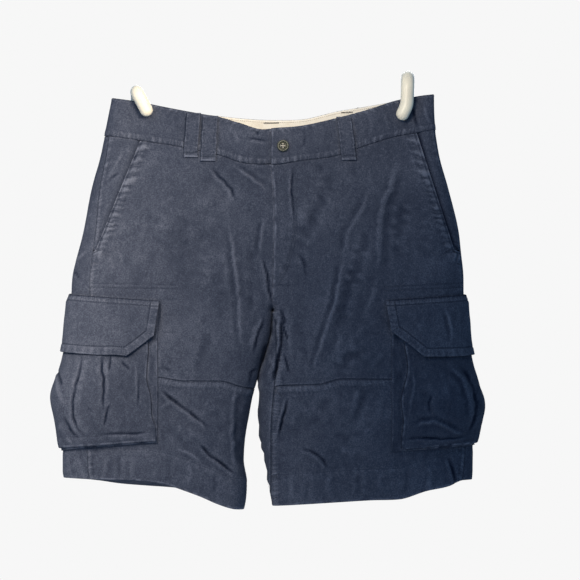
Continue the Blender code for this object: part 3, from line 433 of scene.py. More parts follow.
def inseam(half, top, bottom):
    z = np.linspace(top, bottom, 80)
    fold, leaving = half.u_fold(z), ramp((JUNCTION_Z - z) / INSEAM_FROM_FOLD[half.name])
    if half.name == "left":
        x = mix(INSEAM_LEFT_X, INSEAM_LOW_X, ramp((INSEAM_LOW_FROM - z) / INSEAM_LOW_OVER))
        return np.stack([mix(fold, half.u_at("front", x, z), leaving), z], axis=1)
    return np.stack([fold + INSEAM_HIDDEN * leaving, z], axis=1)


def fly_line(half):
    z = np.linspace(float(front_seam(fly_x(FLY_TOP_Z))), LOWEST_HIP, 90)
    return np.stack([half.u_at("front", fly_x(z) - half.sign * LAP, z), z], axis=1)


def mouth_line(half):
    x0, x1, z1 = np.array(MOUTHS[half.name]) * MM
    q = np.linspace(0, 1, 60)
    z = mix(float(front_seam(x0)), z1, q)
    line = np.stack([half.u_at("front", mix(x0, x1, q), z), z], axis=1)
    line[-1, 0] = side_seam[half.name](z1)
    return line


def side_line(half, top, bottom):
    z = np.linspace(top, bottom, 60)
    return np.stack([side_seam[half.name](z), z], axis=1)


def across(half, start, end, q, height):
    u, z = mix(start[:, None], end[:, None], q)
    for _ in range(4):
        z = height(half.point(u, z)[..., 0])
    z = z + (start[1] - z[0]) * (1 - q) ** 4 + (end[1] - z[-1]) * q**8
    return np.stack([u, z], axis=1)


def seam_round(half):
    edge = half.sign * side_x[half.name](SIDE_TOP_Z)
    return lambda x: mix(front_seam(x), back_seam(x), ramp((edge - half.sign * x) / SIDE_TO_BACK))


def patch(half, outer, inner, top_height, bottom_height, step):
    """A grid of (u, z) between four seams, and those seams: top, bottom, outer and inner.
    Rows go down, and columns from the outer side to the inner."""
    down, over = steps(line_length(outer), step), steps(abs(inner[0, 0] - outer[0, 0]), step)
    outer, inner = resample(outer, down), resample(inner, down)
    top = across(half, outer[0], inner[0], over, top_height)
    bottom = across(half, outer[-1], inner[-1], over, bottom_height)
    q, t = over[None, :, None], down[:, None, None]
    corners = mix(mix(top[0], top[-1], q), mix(bottom[0], bottom[-1], q), t)
    grid = mix(outer[:, None], inner[:, None], q) + mix(top[None], bottom[None], t) - corners
    return grid, top, bottom, outer, inner


# ---- relief ----
def near(points, line, most=60):
    """Distance of each point to a polyline, its side of it, how far along it is, the length."""
    line = np.asarray(line, float)
    if len(line) > most:
        line = line[np.unique(np.linspace(0, len(line) - 1, most).round().astype(int))]
    flat = points.reshape(-1, 2)
    best = np.full(len(flat), np.inf)
    side, along = np.zeros(len(flat)), np.zeros(len(flat))
    start = 0.0
    for a, run in zip(line[:-1], np.diff(line, axis=0)):
        length = float(np.hypot(*run))
        if length < 1e-9:
            continue
        rel = flat - a
        q = np.clip(rel @ run / length**2, 0, 1)
        gone = np.hypot(rel[:, 0] - q * run[0], rel[:, 1] - q * run[1])
        better = gone < best
        best = np.where(better, gone, best)
        side = np.where(better, np.sign(rel[:, 0] * run[1] - rel[:, 1] * run[0]), side)
        along = np.where(better, start + q * length, along)
        start += length
    return *(v.reshape(points.shape[:-1]) for v in (best, side, along)), start


def noise(x, y, seed):
    """Smooth noise about -1 to 1, at a wavelength of about 1."""
    table = np.random.default_rng(seed).uniform(-1, 1, (128, 128))
    i, j = np.floor(x).astype(int), np.floor(y).astype(int)
    p, q = (v * v * v * (v * (6 * v - 15) + 10) for v in (x - i, y - j))

    def at(a, b):
        return table[(i + a) % 128, (j + b) % 128]

    return mix(mix(at(0, 0), at(1, 0), p), mix(at(0, 1), at(1, 1), p), q) * 1.3


def crumple(x, z, seed, amount):
    """Soft washed rumpling of the whole cloth, in several sizes."""
    total = 0.55 * noise(x / 0.050 + z / 0.120, z / 0.070, seed)
    total = total + 0.30 * noise(x / 0.022, z / 0.030 + x / 0.060, seed + 1)
    total = total + 0.10 * noise(x / 0.009, z / 0.013, seed + 2)
    return amount * (total + 0.05 * noise(x / 0.0045, z / 0.006, seed + 3))


def ripple(along, seed, pitch):
    """Uneven ridges across a seam, 0 to about 1."""
    fine = noise(along / (0.45 * pitch), along * 0 + 3.5, seed + 1)
    return np.clip(0.5 + 0.6 * noise(along / pitch, along * 0 + 0.5, seed) + 0.3 * fine, 0, 1.3)


# the second number paints narrow ridges pale, a painted highlight with some fading from use; the third paints
# the bottoms of narrow folds dark, a painted shade
SHARP_FOLD, RIDGE_PALE, PAINTED_FOLD_SHADE, BROAD_FOLDS = 0.0027, 0.14, -0.60, 0.52
FULLY_SHADED = 0.0025  # height of a narrow fold that takes its whole shade


def creases(points, table):
    """Folds listed in a table. A row is width, height, lean, then places along the fold as seen.
    A fold fades at both ends, and lean sets the opposite beside it, 1 being right of its run.
    A narrow ridge is painted pale, a painted highlight with some fading from use, and the bottom of a narrow
    fold is painted dark, a painted shade."""
    total, shade = np.zeros(points.shape[:-1]), np.zeros(points.shape[:-1])
    for width, height, lean, *line in table:
        width, height, line = width * MM, height * MM, seen(*line)
        reach = 5 * width
        close = ((points > line.min(0) - reach) & (points < line.max(0) + reach)).all(axis=-1)
        if not close.any():
            continue
        off, side, along, length = near(points[close], line)
        fade = ramp(along / (0.3 * length)) * ramp((length - along) / (0.3 * length))
        fade = fade * (0.80 + 0.35 * noise(along / 0.011, along * 0 + 90 * line[0, 0], 17))
        sway = noise(along / 0.008, along * 0 + 90 * line[0, 1], 19)
        off = off * np.where(side == 0, 1, side) + 0.3 * width * sway
        if width > SHARP_FOLD:
            height = BROAD_FOLDS * height
        opposite = 0.7 * abs(lean) * bump(off, lean * 2.0 * width, 1.5 * width)
        total[close] += height * fade * (bump(off, 0, width) - opposite)
        # narrow folds: painted shade along their bottoms, and a painted highlight along their ridges
        if width < SHARP_FOLD:
            tone_shift = RIDGE_PALE if height > 0 else PAINTED_FOLD_SHADE
            strength = min(1, abs(height) / FULLY_SHADED)
            shade[close] += tone_shift * strength * fade * bump(off, 0, 0.75 * width)
    return total, shade


class Sewn:
    """Where a piece's seams run, for the material: how far off, how far along, how puckered."""

    FAR = 1.0  # the distance written where there is no seam

    def __init__(self, shape):
        self.off, self.along, self.pucker = np.full(shape, self.FAR), np.zeros(shape), np.zeros(shape)

    def add(self, off, along, pucker):
        nearer = (pucker > self.pucker + 0.02) | ((self.pucker < 0.02) & (np.abs(off) < self.off))
        self.off = np.minimum(np.abs(off), self.off)
        self.along = np.where(nearer, along, self.along)
        self.pucker = np.where(nearer, pucker, self.pucker)

    def values(self):
        return np.stack([self.off, self.along, self.pucker], axis=-1).reshape(-1, 3)


FURROW = 0.0004  # how deep a row of stitches draws the cloth in
WIDE_STRIP = 0.02  # a strip wider than this is a hem, and isn't puckered between its rows


def strip(points, line, side, width, height, pitch, slant, rows, drawn_in, seed, sewn):
    """A doubled strip along a line, puckered between its rows of stitches: relief, and a tone that is a
    little paler on the strip and follows its puckers, lighter on their ridges and painted shade between them.
    side is 1 where it lies to the right of the line's run, -1 to the left."""
    off, which, along, _ = near(points, line)
    off = off * which * side
    inside = ramp(off / 0.0012 + 0.5) * ramp((width - off) / 0.0020 + 0.5)
    swell = ripple(along + slant * off, seed, 2.6 * pitch)
    wide = width > WIDE_STRIP
    relief = inside * height * (1 if wide else 0.65 + 0.45 * swell)
    drawn = np.zeros(points.shape[:-1])
    for row in rows:
        drawn = np.maximum(drawn, bump(off, row, 0.0050))
        relief = relief - FURROW * bump(off, row, 0.0010)
    between = 0.0 if wide else inside
    pucker = np.maximum(0.75 * drawn, between) * (0.45 + 0.75 * swell) if rows else 0.6 * inside
    relief = relief + 0.35 * height * (swell - 0.5) * drawn
    seam_off = np.abs(off) + 0.0013 if wide else off
    sewn.add(seam_off, (along + slant * seam_off) / pitch + seed, drawn_in * np.clip(pucker, 0, 1))
    # the tone: paler on the doubled strip, and lighter on the puckers' ridges with painted shade between them
    return relief, inside * 0.03 + 0.06 * drawn * (swell - 0.4)


def shifted(line, off):
    """A line moved sideways, to the left of its run."""
    run = unit(np.gradient(line, axis=0))
    return line + off * np.stack([-run[:, 1], run[:, 0]], axis=1)


def traced(half, places):
    """A smooth (u, z) line on the front, through places as seen."""
    x, z = seen(*places).T
    line = np.stack([half.u_at("front", x, z), z], axis=1)
    return resample(line, np.linspace(0, 1, max(12, int(line_length(line) / 0.004))))


LEGS_TOUCH, LEGS_TOUCH_WIDTH, LEGS_PART_Z = {"left": 0.0032, "right": 0.0014}, 0.0060, -0.390
PANEL_SEED, CALM_EDGE = 11, 0.014  # the rumpling fades this near to an edge


class Surface:
    """What a panel's cloth does above the solids' own surface: folds, strips and rumpling."""

    def __init__(self, half, grid, strips, amount=0.0009, pocket=None):
        self.half, self.strips, self.amount, self.pocket = half, strips, amount, pocket
        self.edges = [grid[0], grid[-1], grid[:, 0], grid[:, -1]]

    def __call__(self, uz):
        """Relief, a tone carrying painted fold shade and highlights, and the seams' places at points of (u,
        z).
        """
        where = self.half.on(uz)
        z = uz[..., 1]
        edge = np.minimum.reduce([near(uz, line, 30)[0] for line in self.edges])
        calm = 0.25 + 0.75 * ramp(edge / CALM_EDGE)
        # the two legs rest against each other below the crotch
        touch = ramp((z - LEGS_PART_Z) / 0.012) * ramp((JUNCTION_Z - z) / 0.004)
        touch = touch * bump(where[..., 0], inner_x[self.half.name](z), LEGS_TOUCH_WIDTH)
        rumple = crumple(uz[..., 0] * self.half.sign, z, PANEL_SEED, self.amount)
        facing = ramp((MIDDLE_Y - where[..., 1]) / 0.006)
        fronts, front_shade = creases(where[..., [0, 2]], FRONT_CREASES)
        backs, back_shade = creases(where[..., [0, 2]], BACK_CREASES)
        relief = (rumple * calm + mix(backs, fronts, facing)) * (1 - touch)
        wear_and_shade, sewn = mix(back_shade, front_shade, facing), Sewn(relief.shape)
        for number, row in enumerate(self.strips):
            rise, strip_tone = strip(uz, *row, PANEL_SEED + 7 * number, sewn)
            relief, wear_and_shade = relief + rise, wear_and_shade + strip_tone
        if self.pocket:
            relief = relief * (1 - self.pocket.covers(uz))
        return relief + LEGS_TOUCH[self.half.name] * touch, wear_and_shade, sewn

    def level(self, uz):
        return self(uz)[0]


def mesh_object(name, points, faces, slot, material, wear_and_shade=None, uv=None, seam=None):
    """A visible mesh of the body. It takes the place of the solid that has its name, if any."""
    data = bpy.data.meshes.new(name)
    faces = np.asarray(faces)
    data.vertices.add(len(points))
    data.vertices.foreach_set("co", np.asarray(points, float).ravel())
    data.loops.add(faces.size)
    data.loops.foreach_set("vertex_index", faces.ravel())
    data.polygons.add(len(faces))
    data.polygons.foreach_set("loop_start", np.arange(0, faces.size, faces.shape[1]))
    data.update(calc_edges=True)
    data.validate()
    # the first attribute carries the cloth's paler, faded places together with painted shade and painted
    # highlights, for the material's tone
    attributes = (("wear_and_shade", "FLOAT", "value", wear_and_shade), ("seam", "FLOAT_VECTOR", "vector", seam))
    for key, kind, field, values in attributes:
        if values is not None:
            layer = data.attributes.new(key, kind, "POINT")
            layer.data.foreach_set(field, np.asarray(values, np.float32).ravel())
    if uv is not None:
        layer = data.uv_layers.new(name="cloth")
        layer.data.foreach_set("uv", np.asarray(uv, np.float32)[faces.ravel()].ravel())
    data.shade_smooth()
    data.materials.append(material)
    thing = bpy.data.objects.new(name, data)
    bpy.context.scene.collection.objects.link(thing)
    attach(thing, "root")
    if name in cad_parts:
        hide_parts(name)


def grid_faces(rows, columns, start=0):
    i, j = np.meshgrid(np.arange(rows - 1), np.arange(columns - 1), indexing="ij")
    a = (i * columns + j).ravel() + start
    return np.stack([a, a + 1, a + columns + 1, a + columns], axis=1)


def border(rows, columns):
    top = np.arange(columns)
    right = np.arange(1, rows) * columns + columns - 1
    bottom = (rows - 1) * columns + np.arange(columns - 1)[::-1]
    left = np.arange(1, rows - 1)[::-1] * columns
    return np.concatenate([top, right, bottom, left])


def facing_out(points, faces):
    """A closed form's points, and its quads turned to face outwards."""
    a, b, c, d = (points[faces[:, k]] for k in range(4))
    volume = (a * np.cross(b, c)).sum() + (a * np.cross(c, d)).sum()
    return points, faces[:, ::-1] if volume < 0 else faces


def closed(outer, inner):
    """Vertices and faces of a closed shell between two grids of points."""
    rows, columns = outer.shape[:2]
    count = rows * columns
    ring = border(rows, columns)
    after = np.roll(ring, -1)
    rim = np.stack([ring, ring + count, after + count, after], axis=1)
    sheets = [grid_faces(rows, columns), grid_faces(rows, columns, count)[:, ::-1]]
    points = np.concatenate([outer.reshape(-1, 3), inner.reshape(-1, 3)])
    return facing_out(points, np.concatenate([*sheets, rim]))


def edge_distances(grid):
    """Distance of each point to the grid's top, bottom, first and last line."""
    return [near(grid, line, 40)[0] for line in (grid[0], grid[-1], grid[:, 0], grid[:, -1])]


def sampler(grid, height):
    """A function that gives the height at the grid point nearest to each (u, z)."""
    flat, total = grid.reshape(-1, 2), height.ravel()
    return lambda uz: np.array([total[np.argmin(((flat - q) ** 2).sum(1))] for q in uz])


def turning(line):
    """1 where a line runs round its inside on its left hand, and -1 on its right."""
    x, z = line.T
    return 1 if (x * np.roll(z, -1) - z * np.roll(x, -1)).sum() > 0 else -1


def line_inside(line, grid, least):
    """Which points of a line lie at least so far from a grid's edge, and inside it."""
    off = np.minimum.reduce([near(line, edge, 60)[0] for edge in (grid[-1], grid[:, 0], grid[:, -1])])
    return off > 0.93 * least


def proud(relief):
    """How far a relief stands above its own surroundings."""
    soft, (rows, columns) = relief, relief.shape
    for _ in range(3):
        padded = np.pad(soft, 2, mode="edge")
        soft = sum(padded[a : a + rows, 2:-2] for a in range(5)) / 5
        padded = np.pad(soft, 2, mode="edge")
        soft = sum(padded[2:-2, b : b + columns] for b in range(5)) / 5
    return relief - soft


ROUND = 0.0011  # how far in from an edge the cloth is rounded
EDGE_THICKNESS = 0.00004  # at the very rim
RUBBED_EDGE = (0.12,) * 4


def shell(name, half, grid, level, wall, relief, edge_wear=RUBBED_EDGE, wear_and_shade=0.0, seams=False,
          sewn=None, inside=0.0, slot="navy_twill"):
    """A closed sheet of cloth: outer layer at level + relief, with rounded edges. Where it is
    sewn to its neighbours only the outside is rounded, so that nothing shows between them."""
    distance = edge_distances(grid)
    rounded = turn(np.minimum.reduce(distance), ROUND)
    if seams:
        outer = half.lay(grid, level + relief - 0.75 * wall * (1 - rounded))
        inner = half.lay(grid, level + relief - wall)
    else:
        middle, thick = level + relief - wall / 2, (rounded * wall + EDGE_THICKNESS) / 2
        outer, inner = half.lay(grid, middle + thick), half.lay(grid, middle - thick)
    # lighter where the relief stands proud, faded and a painted highlight, and darker in its hollows, a
    # painted shade
    mesh_tone = np.clip(proud(relief) / 0.0005, -1, 1) * 0.16 + wear_and_shade
    fray = 0.55 + 0.6 * noise(grid[..., 0] / 0.006, grid[..., 1] / 0.006, 5)
    for gone, amount in zip(distance, edge_wear):
        mesh_tone = mesh_tone + amount * fray * bump(gone, 0.0013, 0.0012)
    mesh_tone = np.clip(mesh_tone, -0.5, 0.5).ravel()
    # the inner layer takes a third of that tone, and inside adds painted light to it
    layer_tones = np.concatenate([mesh_tone, mesh_tone * 0.3 + np.ravel(inside)])
    plain = Sewn(grid.shape[:2])
    seam = np.concatenate([(sewn or plain).values(), plain.values()])
    uv = np.concatenate([grid.reshape(-1, 2)] * 2)
    mesh_object(name, *closed(outer, inner), slot, navy, layer_tones, uv, seam)


# ---- stitches ----
class Stitches:
    """Runs of thread, gathered into one mesh. A stitch is three squares joined up."""

    CORNERS = ((1, 0), (0, 1), (-1, 0), (0, -1))
    SIDES = [(4 * k + m, 4 * k + (m + 1) % 4) for k in range(2) for m in range(4)]
    FACES = np.array([(a, b, b + 4, a + 4) for a, b in SIDES] + [(3, 2, 1, 0), (8, 9, 10, 11)])

    def __init__(self):
        self.points, self.faces, self.count = [], [], 0

    def run(self, places, normals, pitch=0.0031, length=0.0023, radius=0.00030, lift=0.0001):
        """Thread along a line of world points with outward normals."""
        along = np.append(0, np.cumsum(np.linalg.norm(np.diff(places, axis=0), axis=1)))
        middles = np.arange(pitch / 2, along[-1] - pitch / 3, pitch)
        if not len(middles):
            return

        def at(s, values):
            return np.stack([np.interp(s, along, column) for column in values.T], axis=1)

        ends = [at(np.clip(middles + shift * length, 0, along[-1]), places) for shift in (-0.5, 0, 0.5)]
        out = unit(at(middles, np.broadcast_to(normals, places.shape)))
        sideways = np.cross(unit(ends[2] - ends[0]), out)
        rings = []
        for centre, size, rise in zip(ends, (0.3, 1, 0.3), (-0.7, 1, -0.7)):
            for a, b in self.CORNERS:
                offset = sideways * a * radius * size + out * (b * radius * size * 0.8)
                rings.append(centre + offset + out * (lift + rise * radius * 0.5))
        base = self.count + len(rings) * np.arange(len(middles))
        self.points.append(np.stack(rings, axis=1).reshape(-1, 3))
        self.faces.append((self.FACES + base[:, None, None]).reshape(-1, 4))
        self.count += len(rings) * len(middles)

    def on(self, half, line, level, **kinds):
        """Thread along a line of (u, z) at a level, a number or a function of (u, z)."""
        line = resample(line, np.linspace(0, 1, max(3, int(line_length(line) / 0.0015))))
        height = level(line) if callable(level) else level
        self.run(half.lay(line, height), half.out(line), **kinds)

    def along(self, half, grid, level, *parts, **kinds):
        """Thread along rows and columns of a grid of (u, z) at a level."""
        surface, out = half.lay(grid, level), half.out(grid)
        for part in parts:
            self.run(surface[part], out[part], **kinds)

    def make(self, name, material=None):
        points, faces = np.concatenate(self.points), np.concatenate(self.faces)
        wear_and_shade = 0.25 * noise(points[:, 0] / 0.004, points[:, 2] / 0.004, 3)
        mesh_object(name, points, faces, "navy_twill", material or thread, wear_and_shade, points[:, [0, 2]])


# ---- materials ----
def nodes_of(name):
    material = bpy.data.materials.new(name)
    material.use_nodes = True
    tree = material.node_tree
    return material, tree, tree.nodes["Principled BSDF"]


def put(tree, new, inputs):
    """Sets a node's inputs: a socket is linked to, and anything else is a value."""
    for key, value in inputs.items():
        if isinstance(value, bpy.types.NodeSocket):
            tree.links.new(value, new.inputs[key])
        else:
            new.inputs[key].default_value = value


def node(tree, kind, inputs=None, **settings):
    new = tree.nodes.new("ShaderNode" + kind)
    for key, value in settings.items():
        setattr(new, key, value)
    put(tree, new, inputs or {})
    return new


def calc(tree, operation, *values):
    """A Math node on numbers and sockets; gives its result's socket."""
    return node(tree, "Math", dict(enumerate(values)), operation=operation).outputs[0]


def object_place(tree):
    return node(tree, "TexCoord").outputs["Object"]


def clouds(tree, place, scale, detail, roughness=0.5):
    inputs = {"Vector": place, "Scale": scale, "Detail": detail, "Roughness": roughness}
    return node(tree, "TexNoise", inputs).outputs["Fac"]


def raised(tree, height, strength, distance):
    return node(tree, "Bump", {"Height": height, "Strength": strength, "Distance": distance})


def tones(tree, tone, dark, light):
    new = node(tree, "ValToRGB", {"Fac": tone})
    for stop, colour in zip(new.color_ramp.elements, (dark, light)):
        stop.color = (*colour, 1)
    return new


def bell(tree, distance, width):
    """A Gaussian of a distance, 1 in its middle."""
    squared = calc(tree, "POWER", calc(tree, "DIVIDE", distance, width), 2.0)
    return calc(tree, "EXPONENT", calc(tree, "MULTIPLY", squared, -1.0))


def puckered_seams(tree, tone, weave):
    """Paints shade into a seam's groove, lightens its lip, and puckers the cloth beside it, lighter on the
    puckers' ridges and painted shade between them: new tone.
    """
    seam = node(tree, "Attribute", attribute_name="seam")
    split = node(tree, "SeparateXYZ", {"Vector": seam.outputs["Vector"]})
    off, along, pucker = split.outputs
    drift = clouds(tree, object_place(tree), 110.0, 1.0)
    place = calc(tree, "MULTIPLY_ADD", drift, 1.1, along)
    inputs = {"Scale": 1.0, "W": place}
    cells = node(tree, "TexVoronoi", inputs, voronoi_dimensions="1D", feature="F1")
    swell = calc(tree, "MULTIPLY", cells.outputs["Distance"], pucker)
    # painted shade along the seam's groove, and a paler lip beside it
    groove = bell(tree, off, 0.0012)
    lip = bell(tree, calc(tree, "SUBTRACT", off, 0.0030), 0.0009)
    height = calc(tree, "MULTIPLY_ADD", groove, -0.5, swell)
    put(tree, weave, {"Normal": raised(tree, height, 0.9, 0.0022).outputs["Normal"]})
    # the puckers' tone follows their bump: lighter ridges, painted shade between them
    centred = calc(tree, "MULTIPLY_ADD", pucker, -0.13, calc(tree, "MULTIPLY", swell, 0.55))
    tone = calc(tree, "ADD", tone, centred)
    tone = calc(tree, "MULTIPLY_ADD", lip, 0.07, tone)
    return calc(tree, "MULTIPLY_ADD", groove, -0.32, tone)


def twill(name, dark, base, light, weave=1.0, seams=False):
    """Washed cotton twill: paler where faded, with painted shade and painted highlights taken from its mesh,
    mottled, with a fine diagonal weave.
    """
    material, tree, shader = nodes_of(name)
    where = object_place(tree)
    # the mesh's tone: faded places, painted shade and painted highlights
    mesh_tone = node(tree, "Attribute", attribute_name="wear_and_shade").outputs["Fac"]
    cloud, grain = clouds(tree, where, 11.0, 6.0, 0.62), clouds(tree, where, 560.0, 2.0, 0.6)
    tone = calc(tree, "MULTIPLY_ADD", cloud, 0.55, mesh_tone)
    tone = calc(tree, "MULTIPLY_ADD", grain, 0.85, tone)
    drawn = node(tree, "Mapping", {"Vector": where, "Scale": (2.4, 1, 1.6)}).outputs["Vector"]
    tone = calc(tree, "MULTIPLY_ADD", clouds(tree, drawn, 75.0, 3.0, 0.7), 0.35, tone)
    tone = calc(tree, "SUBTRACT", tone, 0.375)
    cloth = node(tree, "UVMap", uv_map="cloth").outputs["UV"]
    turned = node(tree, "Mapping", {"Vector": cloth, "Rotation": (0, 0, math.radians(62))})
    inputs = {"Scale": 190.0, "Distortion": 1.2, "Detail": 2.0, "Detail Scale": 2.0}
    wale = node(tree, "TexWave", {"Vector": turned.outputs["Vector"], **inputs})
    rough = calc(tree, "MULTIPLY_ADD", grain, 0.9, wale.outputs["Fac"])
    wales = raised(tree, rough, 0.35 * weave, 0.0004)
    if seams:
        tone = puckered_seams(tree, tone, wales)
    colour = tones(tree, tone, dark, light)
    colour.color_ramp.elements.new(0.5).color = (*base, 1)
    put(tree, shader, {
        "Base Color": colour.outputs["Color"], "Normal": wales.outputs["Normal"],
        "Roughness": 0.95, "Specular IOR Level": 0.06,
        "Sheen Weight": 0.03, "Sheen Roughness": 0.7, "Sheen Tint": (0.8, 0.85, 1.0, 1),
    })
    return material


def dull(name, colour, roughness, metallic, scale, strength):
    """A hard finish with a faint unevenness."""
    material, tree, shader = nodes_of(name)
    cloud = clouds(tree, object_place(tree), scale, 3.0)
    tone = tones(tree, cloud, [c * 0.82 for c in colour], [min(1, c * 1.12) for c in colour])
    put(tree, shader, {
        "Base Color": tone.outputs["Color"], "Roughness": roughness, "Metallic": metallic,
        "Normal": raised(tree, cloud, strength, 0.0005).outputs["Normal"],
    })
    return material


navy = twill("navy_twill_cloth", (0.007, 0.011, 0.024), (0.048, 0.055, 0.078),
             (0.14, 0.15, 0.19), seams=True)
thread = twill("navy_thread", (0.034, 0.042, 0.064), (0.058, 0.068, 0.096), (0.12, 0.14, 0.18), 0.5)
cream = twill("cream_cotton_tape", (0.62, 0.54, 0.42), (0.86, 0.79, 0.67), (0.93, 0.89, 0.81))
tan_thread = twill("tan_thread", (0.26, 0.20, 0.14), (0.40, 0.33, 0.25), (0.50, 0.43, 0.34), 0.5)
dark_thread = twill("dark_thread", (0.010, 0.014, 0.024), (0.018, 0.022, 0.034),
                    (0.04, 0.045, 0.06), 0.5)
paint = dull("hook_cream_paint", (0.98, 0.825, 0.63), 0.38, 0.0, 60.0, 0.15)
bronze = dull("button_bronze", (0.070, 0.070, 0.048), 0.40, 0.1, 300.0, 0.2)
bronze_dark = dull("button_face_bronze", (0.070, 0.068, 0.045), 0.35, 0.0, 400.0, 0.2)
# near-black, for the discs over the button's holes: painted shade standing for the holes
hollow = dull("button_hole_shade", (0.010, 0.010, 0.010), 0.8, 0.0, 400.0, 0.1)
zip_metal = dull("zip_metal", (0.22, 0.21, 0.20), 0.4, 0.8, 400.0, 0.2)


# ---- panels ----
STEP, BACK_STEP = 0.00185, 0.0028  # between grid points
MOUTH_SHADE = {"left": 0.55, "right": 0.25}
FLY_LAP = {"left": 0.0010, "right": -0.0006}
HEM = 0.0455  # depth of the turned-up hem

